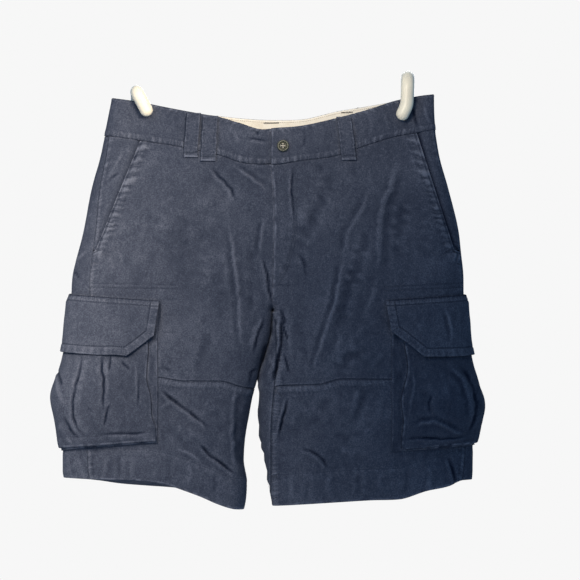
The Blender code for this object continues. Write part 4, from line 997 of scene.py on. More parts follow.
# width, height and lean of a fold, then the places along it as seen
FRONT_CREASES = (
    # right half, hip
    (2.2, -1.4, 1, 211, 164, 217, 175, 225, 182, 231, 189, 234, 196, 236, 204),
    (2.4, 1.7, -1, 233, 165, 243, 173, 251, 178, 259, 184, 268, 192),
    (5, -1.2, 0, 237, 166, 256, 171, 272, 173),
    (2.2, -1, 0, 244, 160, 258, 164, 270, 164),
    (2.6, 1.8, 1, 228, 222, 233, 250, 237, 281, 239, 300, 240, 331, 243, 356),
    (6, -1.6, 0, 250, 232, 252, 262, 249, 300, 250, 330),
    (2.2, 1.4, 1, 264, 218, 262, 232, 260, 246, 261, 256),
    (1.6, -3.4, 1, 262, 256, 265, 266, 267.5, 276, 268.5, 287, 271, 297, 273.5, 307),
    (3, 1.4, 0, 115, 243, 118, 252, 121, 260, 122, 272),
    (1.8, -0.9, 0, 121, 170, 110, 180, 100, 187),
    (1.6, 1, 0, 125, 150, 114, 168, 107, 178),
    (2, 1.2, 0, 75, 262, 81, 256, 88, 250),
    (1.6, -1.2, 0, 73, 270, 77, 274, 80, 280),
    (11, 1.4, 0, 168, 165, 165, 200, 160, 250, 164, 290),
    (10, -1.4, 0, 184, 175, 186, 215, 180, 262, 186, 300),
    (12, 1.5, 0, 204, 190, 207, 230, 202, 270, 207, 320),
    (9, -1.2, 0, 222, 205, 221, 245, 218, 285, 224, 340),
    (3.5, 0.8, 0, 146, 180, 143, 205, 136, 232),
    (3.5, -0.8, 0, 152, 200, 149, 228, 140, 258),
    # right half, above and below the knee
    (7, -2, 1, 214, 330, 206, 348, 200, 362, 197, 380),
    (1.6, -2.6, 1, 264, 315, 262, 325, 259, 332, 255, 345, 252.5, 357),
    (2, 1, 0, 257, 320, 252, 336, 248, 350),
    (1.6, -2.2, 0, 257, 367, 251, 372, 249.5, 384),
    (1.8, -1.2, 0, 157, 369, 164, 367.5, 172, 370),
    (1.9, -3.6, 1, 159, 387, 165, 393, 172, 399, 183, 407, 195, 416, 210, 428),
    (1.9, -3.4, 1, 200, 443, 210, 455, 221, 463, 236, 474),
    (2.6, 1.4, 0, 156, 409, 164, 405, 172, 402),
    (3.4, 4.6, -1, 238, 378, 234, 400, 232.5, 420, 232.5, 440, 235, 476),
    (7.5, -1.8, 0, 222, 392, 217, 412, 220, 440),
    (7.5, 1.6, 0, 206, 396, 212, 410, 222, 424),
    (6, 1.4, 0, 185, 425, 196, 436, 210, 446),
    (5, -1.2, 0, 166, 420, 176, 436, 192, 449),
    (2.6, 1.2, 0, 172, 446, 188, 452, 202, 462),
    (4, -1.4, 0, 247, 395, 243, 420, 241, 450, 243, 480),
    (2.2, -3, 0, 266, 340, 263.5, 352, 261, 364, 259, 378),
    (2.6, -5, 0, 262, 362, 260, 370, 259.5, 382),
    (1.5, 1.6, 0, 267, 348, 270, 356, 271, 366),
    (4.5, 1.6, 0, 152, 455, 155, 466, 153, 480),
    (4, -1.4, 0, 168, 458, 170, 470, 167, 484),
    (4.5, 1.4, 0, 190, 462, 190, 476, 186, 490),
    (4, -1.4, 0, 213, 470, 216, 484, 214, 498),
    (3, 1.4, 0, 77, 455, 81, 466, 85, 481),
    (3, -1.6, 0, 70, 455, 72, 466, 75, 478),
    (3.5, -1.6, 0, 92, 454, 94, 466, 92, 482),
    (4, 1.8, 0, 108, 453, 106, 466, 101, 483),
    (3.5, -1.8, 0, 118, 453, 120, 466, 118, 481),
    (4, 1.6, 0, 132, 455, 133, 468, 130, 484),
    # left half, hip
    (1.5, -1.9, 1, 292, 165, 292.5, 172, 291.5, 190, 293.5, 212, 294, 220),
    (9, -5.6, 1, 334, 172, 326, 190, 318, 206, 308, 228, 298, 246),
    (10, -3, 0, 298, 214, 302, 234, 296, 262),
    (3.5, 2.8, 1, 371, 186, 364, 205, 355, 220, 348, 232, 345, 246, 342, 264),
    (2.6, 2.2, 1, 344, 255, 340, 275, 336, 300, 327, 326, 318, 354, 311, 376),
    (8, -5, 0, 372, 216, 362, 250, 350, 286, 342, 316, 330, 346),
    (4.8, 4.6, -1, 400, 158, 392, 182, 384, 202, 380, 220, 378.5, 248, 377, 278),
    (4, 1.8, 0, 378, 270, 374, 290, 366, 312, 360, 322),
    (9, -4, 0, 408, 190, 400, 214, 396, 240, 398, 268),
    (8, -1.8, 0, 352, 150, 356, 168, 350, 184),
    (5, -1.2, 0, 316, 160, 322, 172, 336, 184),
    (4, 1, 0, 410, 150, 414, 170, 420, 190),
    (10, 1.8, 0, 425, 200, 430, 230, 428, 262),
    (2.6, -1.2, 0, 296, 250, 304, 262, 306, 280),
    (3, -1.2, 0, 278, 262, 286, 268, 296, 264),
    # left half, crotch and thigh
    (1.5, -3.4, 0, 280.5, 308, 283, 316, 285.5, 325),
    (1.7, -4.6, 1, 282, 312, 281.5, 325, 281.5, 338, 280, 350, 277.5, 364, 275, 380),
    (2.4, -3.6, 1, 279.5, 346, 277.5, 360, 275.5, 372, 274, 384),
    (1.3, -2.8, 0, 282, 322, 285, 331, 288, 341),
    (1.4, -2.4, 0, 283.5, 352, 286.5, 362, 289.5, 374),
    (3, 1.4, 0, 294, 312, 290, 330, 290, 348, 294, 368),
    (6, -1.8, 0, 300, 320, 303, 345, 306, 366),
    (1.6, -2.4, 0, 272.5, 308, 272.8, 322, 272.5, 338),
    (7, -3.6, 1, 376, 345, 362, 350, 350, 357, 340, 368, 334, 378),
    (5, 1.8, 0, 344, 330, 338, 348, 330, 360),
    (5.5, -2.2, 0, 372, 330, 362, 340, 352, 345),
    (5, 2, 0, 384, 350, 376, 360, 366, 371),
    # left half, below the knee
    (1.5, -4, 1, 288, 396, 285, 410, 281, 424, 278, 440),
    (5.5, 1.6, 0, 304, 396, 297, 412, 288, 430),
    (7, -2.2, 0, 328, 392, 322, 406, 314, 420, 300, 430),
    (5, 2, 0, 358, 386, 355, 398, 350, 412),
    (5.5, -3.4, 0, 366, 386, 362, 402, 357, 416, 346, 424),
    (7, 2, 0, 384, 388, 380, 404, 372, 424, 364, 440),
    (6, -2.4, 0, 392, 396, 388, 412, 392, 428, 400, 440),
    (1.8, -2.6, 1, 300, 448, 310, 450, 317, 454, 323, 460, 328, 468),
    (6, -1.8, 0, 330, 432, 346, 436, 366, 434),
    (6, 1.8, 0, 336, 446, 352, 452, 372, 452),
    (3.5, 1.6, 0, 290, 474, 292, 488, 290, 504),
    (3.5, -1.6, 0, 306, 472, 308, 486, 304, 503),
    (4.5, 1.4, 0, 330, 470, 328, 486, 332, 501),
    (4.5, -1.6, 0, 356, 470, 360, 484, 356, 500),
    (4.5, 1.6, 0, 382, 468, 380, 482, 384, 498),
    (4, -1.8, 0, 405, 466, 408, 480, 404, 496),
    (3.5, 1.8, 0, 428, 462, 430, 476, 427, 492),
    (2.2, -2.6, 1, 447, 456, 452, 468, 456, 485),
    (3, 1.6, 0, 464, 452, 462, 464, 465, 478),
)
BACK_CREASES = (
    (2.4, -3, 0, 262.5, 356, 261, 366, 259.5, 382),
    (2.2, -2.6, 0, 266, 338, 264, 350, 262, 362),
    (1.5, 1.6, 0, 266, 344, 265, 354, 266, 364),
    (3.6, -3, 1, 198, 162, 214, 178, 229, 199, 238, 222),
    (4.5, 3, 0, 212, 160, 232, 176, 248, 196),
    (2.4, 1.6, -1, 356, 162, 338, 174, 318, 184),
    (4, -3.4, -1, 352, 170, 336, 196, 326, 226, 322, 262),
    (3, -3, 0, 300, 168, 306, 178, 309, 190),
    (3, 2.6, 1, 250, 296, 232, 318, 208, 338, 180, 352),
    (3.6, -3.4, 0, 254, 306, 236, 330, 212, 348, 188, 366),
    (3.4, -3, 0, 296, 300, 308, 318, 334, 338, 368, 350),
    (2.8, 2.6, -1, 292, 314, 306, 338, 326, 360),
    (2.2, -2, 1, 263, 318, 258, 330, 252, 346),
    (3.5, 1.8, 0, 150, 180, 146, 230, 152, 280),
    (6, -3, 0, 182, 190, 186, 240, 178, 292),
    (8, 3.6, 0, 204, 214, 206, 262, 198, 312),
    (6, -2.6, 0, 240, 226, 236, 262, 242, 292),
    (3.5, 1.8, 0, 398, 176, 402, 226, 396, 276),
    (8, -3.6, 0, 380, 186, 366, 234, 370, 290),
    (7, 3.4, 0, 346, 210, 350, 258, 340, 306),
    (5, 2.2, 0, 418, 214, 412, 246, 420, 280),
    (3.4, -3.6, 1, 148, 386, 168, 396, 192, 414, 206, 436),
    (2.4, -1.8, 0, 176, 432, 190, 438, 206, 452),
    (3.4, 3.4, 0, 404, 384, 374, 396, 346, 400, 318, 416),
    (4, -3.4, 0, 396, 396, 366, 410, 332, 416),
    (2.2, -2.2, 0, 300, 428, 314, 440, 334, 446),
    (7, 3, 0, 214, 390, 222, 430, 214, 470),
    (7, -3, 0, 352, 424, 346, 446, 352, 474),
    (3.5, -1.6, 0, 116, 462, 122, 476, 120, 492),
    (3.5, 1.6, 0, 163, 462, 158, 476, 162, 492),
    (3.5, -1.6, 0, 206, 466, 202, 480, 200, 496),
    (3.5, 1.6, 0, 312, 466, 318, 480, 316, 496),
    (3.5, -1.6, 0, 368, 466, 366, 480, 370, 494),
    (3.5, 1.6, 0, 426, 460, 424, 474, 428, 488),
)
# rows of stitches that aren't along a seam: half, and the places along it as seen
ROWS = (
    ("right", 86, 283, 120, 283.5, 176, 284.5),
    ("right", 88, 287, 120, 287.5, 176, 288.5),
    ("right", 164, 299, 176, 299),
    ("right", 164, 315, 175, 315),
    ("right", 164, 332, 175, 332),
    ("right", 122, 269, 120, 258, 115.8, 246),
    ("right", 97, 250, 104, 250, 110, 253),
    ("right", 98, 253, 104, 253, 109, 256),
    ("left", 382, 287, 420, 285, 462, 283),
    ("left", 384, 291, 420, 289, 462, 287),
    ("left", 372, 300, 380, 300),
    ("left", 371, 333, 382, 334),
    ("left", 294, 168, 293, 200, 292, 245, 285, 268, 276, 283),
    ("left", 296.5, 168, 295.5, 200, 294.5, 246, 287, 271, 277, 286),
    ("left", 275, 285, 284, 285, 293, 285),
    ("left", 455, 251, 448, 251, 442, 254),
)

# strips: side (the hem's is given with its line), width, height, pitch, slant, rows of
# stitches, how far drawn in
SIDE_STRIP = (-1, 0.0075, 0.0004, 0.0060, 0.3, (0.0018, 0.0070), 0.6)
INSEAM_STRIP = (1, 0.0095, 0.0008, 0.0040, 0.1, (0.0018, 0.0082), 0.6)
HEM_STRIP = (HEM, 0.0003, 0.0080, 0.3, (0.0012,), 0.4)


def panel(half, name, grid, edge_wear, strips, pocket):
    """One panel with its strips and stitches."""
    surface = Surface(half, grid, strips, pocket=pocket)
    relief, wear_and_shade, sewn = surface(grid)
    free_rows = [traced(half, places) for side, *places in ROWS if side == half.name and "front" in name]
    for line in free_rows:
        relief = relief - FURROW * bump(near(grid, line, 12)[0], 0, 0.0011)
    level = hem_inside_light = 0.0
    if "upper" in name:
        above = ramp((grid[..., 1] + 0.268) / 0.03)
        level = above * FLY_LAP[half.name] * ramp((0.010 - near(grid, fly_line(half))[0]) / 0.008)
    else:
        # painted light on the inside of the leg near the hem, where the leg's shade falls; there the
        # turned-up hem also shows the cloth's outer face
        hem_inside_light = 0.50 * ramp((HEM - near(grid, grid[-1])[0]) / 0.003)
    shell(name, half, grid, level, TWILL, relief, edge_wear, wear_and_shade, True, sewn, hem_inside_light)
    sewing = Stitches()
    for line, side, _, _, _, _, rows, _ in strips:
        for row in rows:
            sewing.on(half, shifted(line, -side * row), surface.level)
    for line in free_rows:
        if grid[..., 1].min() < line[len(line) // 2, 1] < grid[..., 1].max():
            sewing.on(half, line, surface.level)
    sewing.make(f"{name}_stitches")


def panels(half, pocket):
    name, z_mouth = half.name, MOUTHS[half.name][-1] * MM
    knee_at, hem_at = knee_z[name], hem_z[name, "front"]
    side_top, knee_side, hem_side, knee_inner, hem_inner = (
        float(line(edge[name](z)))
        for line, edge, z in (
            (front_seam, side_x, SIDE_TOP_Z), (knee_at, side_x, KNEE_SIDE_Z), (hem_at, side_x, HEM_SIDE_Z),
            (knee_at, inner_x, KNEE_INNER_Z), (hem_at, inner_x, HEM_INNER_Z),
        )
    )
    past = np.array([LAP / 2, 0])
    mouth, top_side = mouth_line(half), side_line(half, side_top, z_mouth)
    side, low_side = side_line(half, z_mouth, knee_side), side_line(half, knee_side, hem_side)
    leg, low_leg = inseam(half, JUNCTION_Z, knee_inner), inseam(half, knee_inner, hem_inner)

    def shown_inseam(line):
        return [(line, *INSEAM_STRIP)] if name == "left" else []

    outer, inner = np.concatenate([mouth, side[1:] - past]), np.concatenate([fly_line(half), leg + past])
    grid, _, knee, _, _ = patch(
        half, outer, inner, lambda x: front_seam(x) + LAP / 2, lambda x: knee_at(x) - LAP / 2, STEP
    )
    strips = [
        (shifted(mouth, 0.0030), -1, 0.0105, 0.0005, 0.0080, 0.2, (0.0, 0.0095), 1.9),
        (knee, -1, 0.0025, 0.0001, 0.0048, 0.3, (), 0.0),
        (side, *SIDE_STRIP),
        *shown_inseam(leg),
    ]
    panel(half, f"front_upper_{name}", grid, (0.10, 0.0, 0.46, 0.46), strips, pocket)

    grid, knee, hem, outer, inner = patch(
        half, low_side - past, low_leg + past, lambda x: knee_at(x) + LAP / 2, hem_at, STEP
    )
    strips = [
        (knee, 1, 0.0100, 0.0006, 0.0044, 0.1, (0.0022, 0.0092), 0.4),
        (shifted(hem, HEM), 1, *HEM_STRIP),
        (outer, *SIDE_STRIP),
        *shown_inseam(inner),
    ]
    panel(half, f"front_lower_{name}", grid, (0.0, 0.42, 0.0, 0.0), strips, pocket)

    # facing under the slanted mouth
    down = steps(line_length(mouth), STEP)[:-3]
    edge, under = resample(top_side - past, down), resample(mouth + np.array([0.020, 0]), down)
    grid = mix(edge[:, None], under[:, None], steps(0.045, STEP)[None, :, None])
    to_mouth = resample(mouth, down)[:, None, 0] - grid[..., 0]
    gape = 0.0008 * ramp((grid[..., 1] - z_mouth) / 0.05)
    dip = -(TWILL + GAP + gape) * ramp((0.009 - to_mouth) / 0.009)
    strips = [(edge, -1, 0.0070, 0.0005, 0.0060, 0.3, (0.0018, 0.0066), 0.6)]
    relief, wear_and_shade, sewn = Surface(half, grid, strips, 0.0006)(grid)
    # painted shadow on the facing along the mouth's edge
    wear_and_shade = wear_and_shade - MOUTH_SHADE[name] * bump(to_mouth, 0.0004, 0.0032)
    shell(f"pocket_facing_{name}", half, grid, dip, TWILL, relief, wear_and_shade=wear_and_shade, seams=True, sewn=sewn)

    # back
    outer = np.concatenate([top_side, side[1:], low_side[1:]]) + past
    z = np.linspace(float(back_seam(CENTRE_X)), LOWEST_HIP, 90)
    centre = np.stack([half.u_at("back", CENTRE_X - half.sign * LAP / 2, z), z], axis=1)
    legs = np.concatenate([leg, low_leg[1:]])
    legs[:, 0] = -(half.girth(legs[:, 1]) - legs[:, 0]) - LAP / 2
    inner, waist_at, hem_at = np.concatenate([centre, legs]), seam_round(half), hem_z[name, "back"]
    grid, waist, hem, _, inner = patch(
        half, outer, inner, lambda x: waist_at(x) + LAP / 2, hem_at, BACK_STEP
    )
    hips = inner[:, 1] > JUNCTION_Z
    towards = 1 if hem[-1, 0] > hem[0, 0] else -1
    strips = [
        (waist, -1, 0.0030, 0.0003, 0.0060, 0.3, (), 0.5),
        (inner[hips], -1, 0.0090, 0.0007, 0.0048, 0.3, (0.0018, 0.0080), 0.7),
        (inner[~hips], -1, 0.0055, 0.0004, 0.0040, 0.1, (0.0015, 0.0047), 0.25),
        (shifted(hem, HEM * towards), towards, *HEM_STRIP),
    ]
    panel(half, f"back_{name}", grid, (0.0, 0.22, 0.0, 0.0), strips, pocket)


# ---- waistband, lining and loops ----
LAP_DROP, LAP_FROM, LAP_RUN, UNDERLAP = 0.0035, -0.0420, 0.0300, 0.036
BAND_TOP_Z, BAND_SEAM_Z, BAND_STEPS = 0.02, -0.045, (0.0018, 0.0017)
BAND_SEED, BAND_STRIP_SEED, LINING_SEED = 31, 33, 43
LINING_WALL, LINING_SHORT, LINING_END_U = 0.0010, 0.004, -0.030
FORWARD = (0, -1, 0)
# the loops' tacks behind the lining: x from, x to and y as seen
TACKS, TACK_ROWS = ((263.5, 279, 122), (341, 353, 111.5)), (0, 0.7)
LINING_TACK = {"pitch": 0.0016, "length": 0.0015, "radius": 0.0005, "lift": 0.0004}
BAND_CREASES = (
    (1.6, -1.4, 1, 248, 138, 256, 139, 267, 140.5),
    (1.6, -1, 0, 252, 129.5, 257, 132, 258, 136),
    (3, 1, 0, 228, 124, 234, 134, 240, 146),
    (3, -1, 0, 215, 128, 219, 138, 220, 150),
    (2.8, 0.9, 0, 170, 112, 172, 122, 176, 132),
    (3, -0.9, 0, 128, 106, 132, 118, 130, 130),
    (2, -1, 0, 304, 126, 304, 137, 303.5, 148),
    (3, 0.9, 0, 318, 126, 322, 136, 320, 148),
    (2.8, -1.1, 0, 365, 116, 368, 128, 366, 141),
    (3, 1, 0, 384, 110, 386, 122, 390, 134),
    (2.6, -1.2, 0, 412, 104, 415, 118, 418, 132),
    (2.6, 1, 0, 424, 102, 426, 114, 430, 126),
)


def band_grid(half, shares, rows):
    """Columns of (u, z) down the waistband at shares of its half length, front positive."""
    columns = []
    for face, sign, top_edge, seam in (
        ("back", -1, back_top, seam_round(half)),
        ("front", 1, front_top, front_seam),
    ):
        share = np.abs(shares[(shares >= 0) == (sign > 0)])

        def u_on(z):
            return share * np.abs(half.u_at(face, CENTRE_X + 0 * z, z)) * sign

        low, high = BAND_SEAM_Z + 0 * share, BAND_TOP_Z + 0 * share
        for _ in range(5):
            low = seam(half.point(u_on(low), low)[..., 0])
            high = top_edge(half.point(u_on(high), high)[..., 0])
        z = mix(high[None], low[None] + GAP, rows[:, None])
        columns.append(np.stack([u_on(z), z], axis=-1))
    return np.concatenate(columns, axis=1)


def waistband(half, full):
    """One half of the waistband, with its underlap or its button end, and its stitches."""
    right = half.name == "right"
    end_x = UNDERLAP if right else float(fly_x(FLY_TOP_Z)) - LAP
    end = float(half.u_at("front", end_x, float(front_seam(0.0)))) / full
    shares = mix(-1, end, steps(full * (1 + end), BAND_STEPS[0]))
    grid = band_grid(half, shares, steps(WAISTBAND, BAND_STEPS[1]))
    grid[-1, :, 1] -= LAP / 2
    where = half.on(grid)
    x = where[..., 0]
    lap = -LAP_DROP * ramp((x - LAP_FROM) / LAP_RUN) if right else 0.0008 * ramp((0.03 - x) / 0.02)
    level = WAIST_OUTER + lap * (grid[..., 0] > 0)
    front = ramp((MIDDLE_Y - where[..., 1]) / 0.004)
    fold, shade = creases(where[..., [0, 2]], BAND_CREASES)
    relief = crumple(x, grid[..., 1], BAND_SEED, 0.0007) + front * fold
    wear_and_shade, sewn = front * shade, Sewn(relief.shape)
    for line, side, width, row in ((grid[0], 1, 0.0045, 0.0030), (grid[-1], -1, 0.0080, 0.0028)):
        rise, strip_tone = strip(grid, line, side, width, 0.0004, 0.0060, 0.5, (row,), 0.9, BAND_STRIP_SEED, sewn)
        relief, wear_and_shade = relief + rise, wear_and_shade + strip_tone
    sewn.off = np.maximum(sewn.off, 0.0010)
    name = f"waistband_{half.name}"
    shell(name, half, grid, level, WAIST_WALL, relief, (0.16, 0.0, 0.0, 0.55), wear_and_shade, sewn=sewn)
    sewing, height = Stitches(), sampler(grid, level + relief)
    for first, second in ((3, 4), (-4, -5)):
        sewing.on(half, mix(grid[first], grid[second], 0.6)[2:-2], height)
    if not right:
        sewing.on(half, grid[4:-4, -5], height)
    sewing.make(f"{name}_stitches")


def lining_half(half, full):
    """Two layers of world points of half the lining."""
    grid = band_grid(half, np.linspace(-1, LINING_END_U / full, 140), np.linspace(0.004, 1, 30))
    grid[-1, :, 1] += LINING_SHORT
    x, z = half.on(grid)[..., 0], grid[..., 1]
    puckers = 0.0004 * noise(x / 0.006, z / 0.02, 41) * bump(z, z[:1] - 0.003, 0.004)
    soft = np.minimum(crumple(x, z, LINING_SEED, 0.0005) + puckers, 0.0001)
    inside = WAIST_OUTER - WAIST_WALL - GAP
    return [half.lay(grid, level + soft) for level in (inside, inside - LINING_WALL)]


def waistbands():
    layers = []
    for half in HALVES.values():
        full = float(half.u_at("front", CENTRE_X, float(front_seam(0.0))))
        waistband(half, full)
        layers.append(lining_half(half, full))
    outer, inner = (np.concatenate([right[:, ::-1], left[:, 1:]], axis=1) for right, left in zip(*layers))
    uv = np.concatenate([outer.reshape(-1, 3)[:, [0, 2]]] * 2)
    mesh_tone = 0.12 * noise(uv[:, 0] / 0.01, uv[:, 1] / 0.01, 8)
    mesh_object("waistband_lining", *closed(outer, inner), "cream_cotton", cream, mesh_tone, uv)
    # its two rows of thread, and the dark tacks of the loops behind it
    sewing, tacks = Stitches(), Stitches()
    for share in (0.055, 0.93):
        row = share * (len(inner) - 1)
        line = mix(inner[int(row)], inner[int(row) + 1], row % 1)
        sewing.run(line, FORWARD, lift=0.0002)
    sewing.make("waistband_lining_stitches", tan_thread)
    flat = inner.reshape(-1, 3)
    for x0, x1, y in TACKS:
        for drop in TACK_ROWS:
            xz = np.linspace(*seen(x0, y + drop + 0.4, x1, y + drop), 30)
            depths = [flat[np.argmin(((flat[:, [0, 2]] - place) ** 2).sum(1)), 1] for place in xz]
            line = np.stack([xz[:, 0], depths, xz[:, 1]], axis=1)
            tacks.run(line, FORWARD, **LINING_TACK)
    tacks.make("waistband_lining_tacks", dark_thread)


# x at the top and at the foot, width and length in millimetres
LOOPS = (
    ("front_right_outer", "right", "front", -117, -121, 20.5, 66),
    ("front_right_inner", "right", "front", -92.5, -95.5, 22.5, 67),
    ("front_left", "left", "front", 100, 108, 21.5, 66),
    ("back_right", "right", "back", -125, -125, 21.5, 66),
    ("back_centre", "left", "back", 11, 11, 21.5, 66),
    ("back_left", "left", "back", 130, 130, 21.5, 66),
)
LOOP_WALL, LOOP_SLACK, LOOP_SEWN = 0.0016, 0.0034, 0.85
LOOP_BELOW_TOP, LOOP_DROP = 0.001, 0.0120
LOOP_LONG, LOOP_STEPS, LOOP_SEED, LADDER_SEED = 0.064, (0.0012, 0.0014), 71, 73
LOOP_TACK = {"pitch": 0.0011, "length": 0.0014, "radius": 0.0004}
LOOP_ROW = 0.0035  # from an edge to its row of stitches
FOOT_WEAR, FOOT_RUB = {"left": 0.12, "right": 0.34}, {"left": 0.2, "right": 0.44}


def loop(name, half_name, face, x_top, x_bottom, width):
    half = HALVES[half_name]
    top_edge, seam = (front_top, front_seam) if face == "front" else (back_top, back_seam)
    down = steps(LOOP_LONG, LOOP_STEPS[1])[:, None]
    x = mix(x_top, x_bottom, down)
    bottom = seam(x) - LOOP_DROP
    z = mix(top_edge(x) - LOOP_BELOW_TOP, bottom, down)
    over = (steps(width, LOOP_STEPS[0]) - 0.5) * width
    edge_wave = 0.0004 * noise(z / 0.007, z * 0 + x_top * 900, 72)
    u = half.u_at(face, x + over + edge_wave, z + 0 * over)
    grid = np.stack([u, z + 0 * u], axis=-1)
    seat_up = WAIST_OUTER * ramp((z - seam(x) + 0.006) / 0.004)
    slack = 0.75 * LOOP_SLACK * np.sin(math.pi * np.minimum(down / LOOP_SEWN, 1))
    # turned under at the foot, tacked there and under the top edge
    foot, edge = z - bottom + 0 * u, np.abs(over) + 0 * u
    level = seat_up + SEWN_FLAT + slack + LOOP_WALL + 0.0007 * ramp((0.0045 - foot) / 0.0008)
    relief = crumple(u, grid[..., 1], LOOP_SEED, 0.0005) + 0.0002
    relief = relief - 0.0003 * bump(edge, width / 2 - LOOP_ROW, 0.0009)
    relief = relief - 0.0006 * bump(foot, 0.0062, 0.0012)
    ladder = noise(grid[..., 1] / 0.0035, over / 0.004 + 0 * u, LADDER_SEED)
    relief = relief + 0.00025 * ladder * bump(edge, width / 2, 0.0025)
    tone_shift = 0.08 * ladder * bump(edge, width / 2, 0.002)
    wear_and_shade = FOOT_WEAR[half_name] * bump(foot, 0.0006, 0.0016) + tone_shift
    sewn, rim = Sewn(relief.shape), width / 2 - edge
    sewn.add(rim + 0.0012, z / 0.0045 + np.sign(over) * 31, 0.55 * bump(rim, 0.0028, 0.0030))
    edge_wear = (0.12, FOOT_RUB[half_name], 0.16, 0.16)
    shell(f"belt_loop_{name}", half, grid, level, LOOP_WALL, relief, edge_wear, wear_and_shade, sewn=sewn)
    sewing, last = Stitches(), len(over) - 1
    columns = [round(share * last) for share in (LOOP_ROW / width, 1 - LOOP_ROW / width)]
    sewing.along(half, grid, level + relief, *((slice(3, -4), column) for column in columns))
    sewing.along(half, grid, level + relief, np.s_[5, 2:-2], np.s_[-8, 2:-2], **LOOP_TACK)
    sewing.make(f"belt_loop_{name}_stitches")


# ---- cargo pockets ----
# half, front edge, top and bottom at the front and the side, then the flap's: taper, how far
# past the bag's front, the clipped corner across and down, how much longer it is at the side
POCKETS = (
    ("right", -169, -256.2, -246.2, -461.5, -473, 8, 3, 44, 32, 1),
    ("left", 170, -255.2, -247.2, -475.5, -466, 8, 9, 50, 37, 5),
)
# how far the bag's front edge strays from straight, by height
STRAYS = {
    "right": ((-330, 0), (-368, 2.3), (-394, -3.3), (-426, -5.5), (-439, -10.5), (-470, -11.5)),
    "left": ((-310, 3), (-326, 5.5), (-355, 9.5), (-403, 0), (-431, 3.2), (-465, 0), (-480, 4)),
}
POCKET_MIDDLE_Z, POCKET_BACK_U, ROUND_FOLD = -0.36, -0.050, 0.060
BAG_INSET = (0.0135, 0.0030, 0.0100)
BAG_MOUTH, BAG_STAND, BAG_CROWN, BAG_FULL = 0.012, 0.0040, 0.0145, 0.70
GUSSET_LEAN = 0.62
STRAY_WIDTH = 0.030
BAG_STEPS, BAG_LONG, FLAP_STEPS = (0.0015, 0.0017), 0.20, (0.0015, 0.0014)
BULGE_RISE, BULGE_DOWN = 0.0095, {"right": 0.66, "left": 0.74}
BULGE_WIDTH, BULGE_HEIGHT = 0.026, 0.14
NARROW_TOP, NARROW_OVER, NARROW_WIDTH = 0.75, 0.22, 0.045
PLEAT_RISE, PLEAT_STEP, PLEATS = 0.0014, 0.0025, (0.078, 0.116)
FLAP_HEIGHT, FLAP_WALL = 0.083, 0.0020
FLAP_OVER, FLAP_PAST, FLAP_TAPERED = 0.0013, 0.003, 0.080
FLAP_RIM, FLAP_TOP = 0.0115, 0.0075
EDGE_ROW = 0.0018  # from a flap's edge to its outer row of stitches
# the second table darkens the left bag and its gusset all over: painted shade
EDGE_RUB, BAG_SHADE = {"left": 0.45, "right": 0.12}, {"left": -0.13, "right": 0.0}
BAG_SEED = {"right": 91, "left": 191}
BAG_CREASES = (
    # right bag
    (1.5, -4, 0, 83, 352, 80.6, 370, 76, 386, 73.5, 402, 74, 418, 79, 429, 86, 437),
    (3, 1.4, 0, 88, 356, 85, 374, 81, 392, 80, 414),
    (1.5, -3.6, 0, 103, 352, 102.8, 372, 104.7, 378, 104.3, 398, 104, 412),
    (2.4, 1, 0, 107, 358, 108, 376, 108, 396),
    (1.3, -2.2, 0, 111.4, 354, 111, 362, 110, 371),
    (1.4, -1.8, 0, 111, 402, 107, 414, 105, 427),
    (1.8, -1.6, 0, 121, 360, 126, 365, 132, 370),
    (2.4, 1, 0, 136.5, 360, 137, 380, 137, 400),
    (1.4, -1.2, 0, 139.5, 372, 139, 390, 138, 408),
    (7, -1.2, 0, 122, 376, 124, 398, 120, 422),
    (1.8, -2.4, 1, 57, 370, 60, 377, 63, 386),
    (3, 2.2, 0, 56, 374, 59, 390, 63, 402),
    (4, 2.2, 0, 56, 414, 61, 428, 68, 440, 77, 452),
    (2.4, -1.8, 0, 64, 414, 70, 428, 80, 440),
    (4, -1.2, 0, 88, 400, 92, 420, 98, 432),
    (1.4, -1.6, 1, 98, 434, 115, 433, 132, 433.5, 150, 432),
    (3, 1.2, 0, 98, 440, 120, 438, 146, 437),
    # left bag
    (2.4, 1.4, 0, 412, 364, 414, 384, 410, 404, 409, 424),
    (7, -2, 0, 426, 372, 424, 394, 421, 414),
    (2.6, 2.2, 1, 446, 362, 454, 370, 462, 378, 466, 390, 470, 402, 469, 420),
    (2.6, -4, 0, 458, 363, 468, 376, 474, 392, 477, 406, 474, 422, 467, 436),
    (5, -3, 0, 456, 360, 467, 372, 477, 388, 480, 406, 476, 424),
    (5, 1.6, 0, 438, 366, 444, 384, 446, 404),
    (2.4, 2.2, -1, 412, 428, 422, 422, 434, 421.5, 444, 425, 454, 432, 466, 434),
    (1.4, -2.4, 1, 403, 439, 418, 437, 440, 438.5, 456, 437.5, 469, 435),
    (3, 1.2, 0, 404, 446, 428, 444, 462, 441),
    (2, -1.4, 0, 431, 392, 428, 404, 430, 414),
)
FLAP_CREASES = (
    (8, -1.2, 0, 90, 312, 88, 328, 92, 342),
    (6, 1.2, 0, 118, 312, 114, 326, 118, 340),
    (4, -1, 0, 136, 312, 132, 322, 124, 332),
    (6, 1, 0, 74, 306, 72, 322, 74, 340),
    (2.2, 1.6, 1, 443, 306, 449, 320, 452, 334, 450, 344),
    (7, -1.4, 0, 424, 306, 430, 322, 436, 340),
    (5, 1.2, 0, 408, 308, 414, 320, 424, 332),
    (4, -1.2, 0, 460, 304, 463, 322, 462, 342),
)


def seat(u):
    return mix(SEWN_FLAT, SEWN_ON, bump(u, 0, ROUND_FOLD))


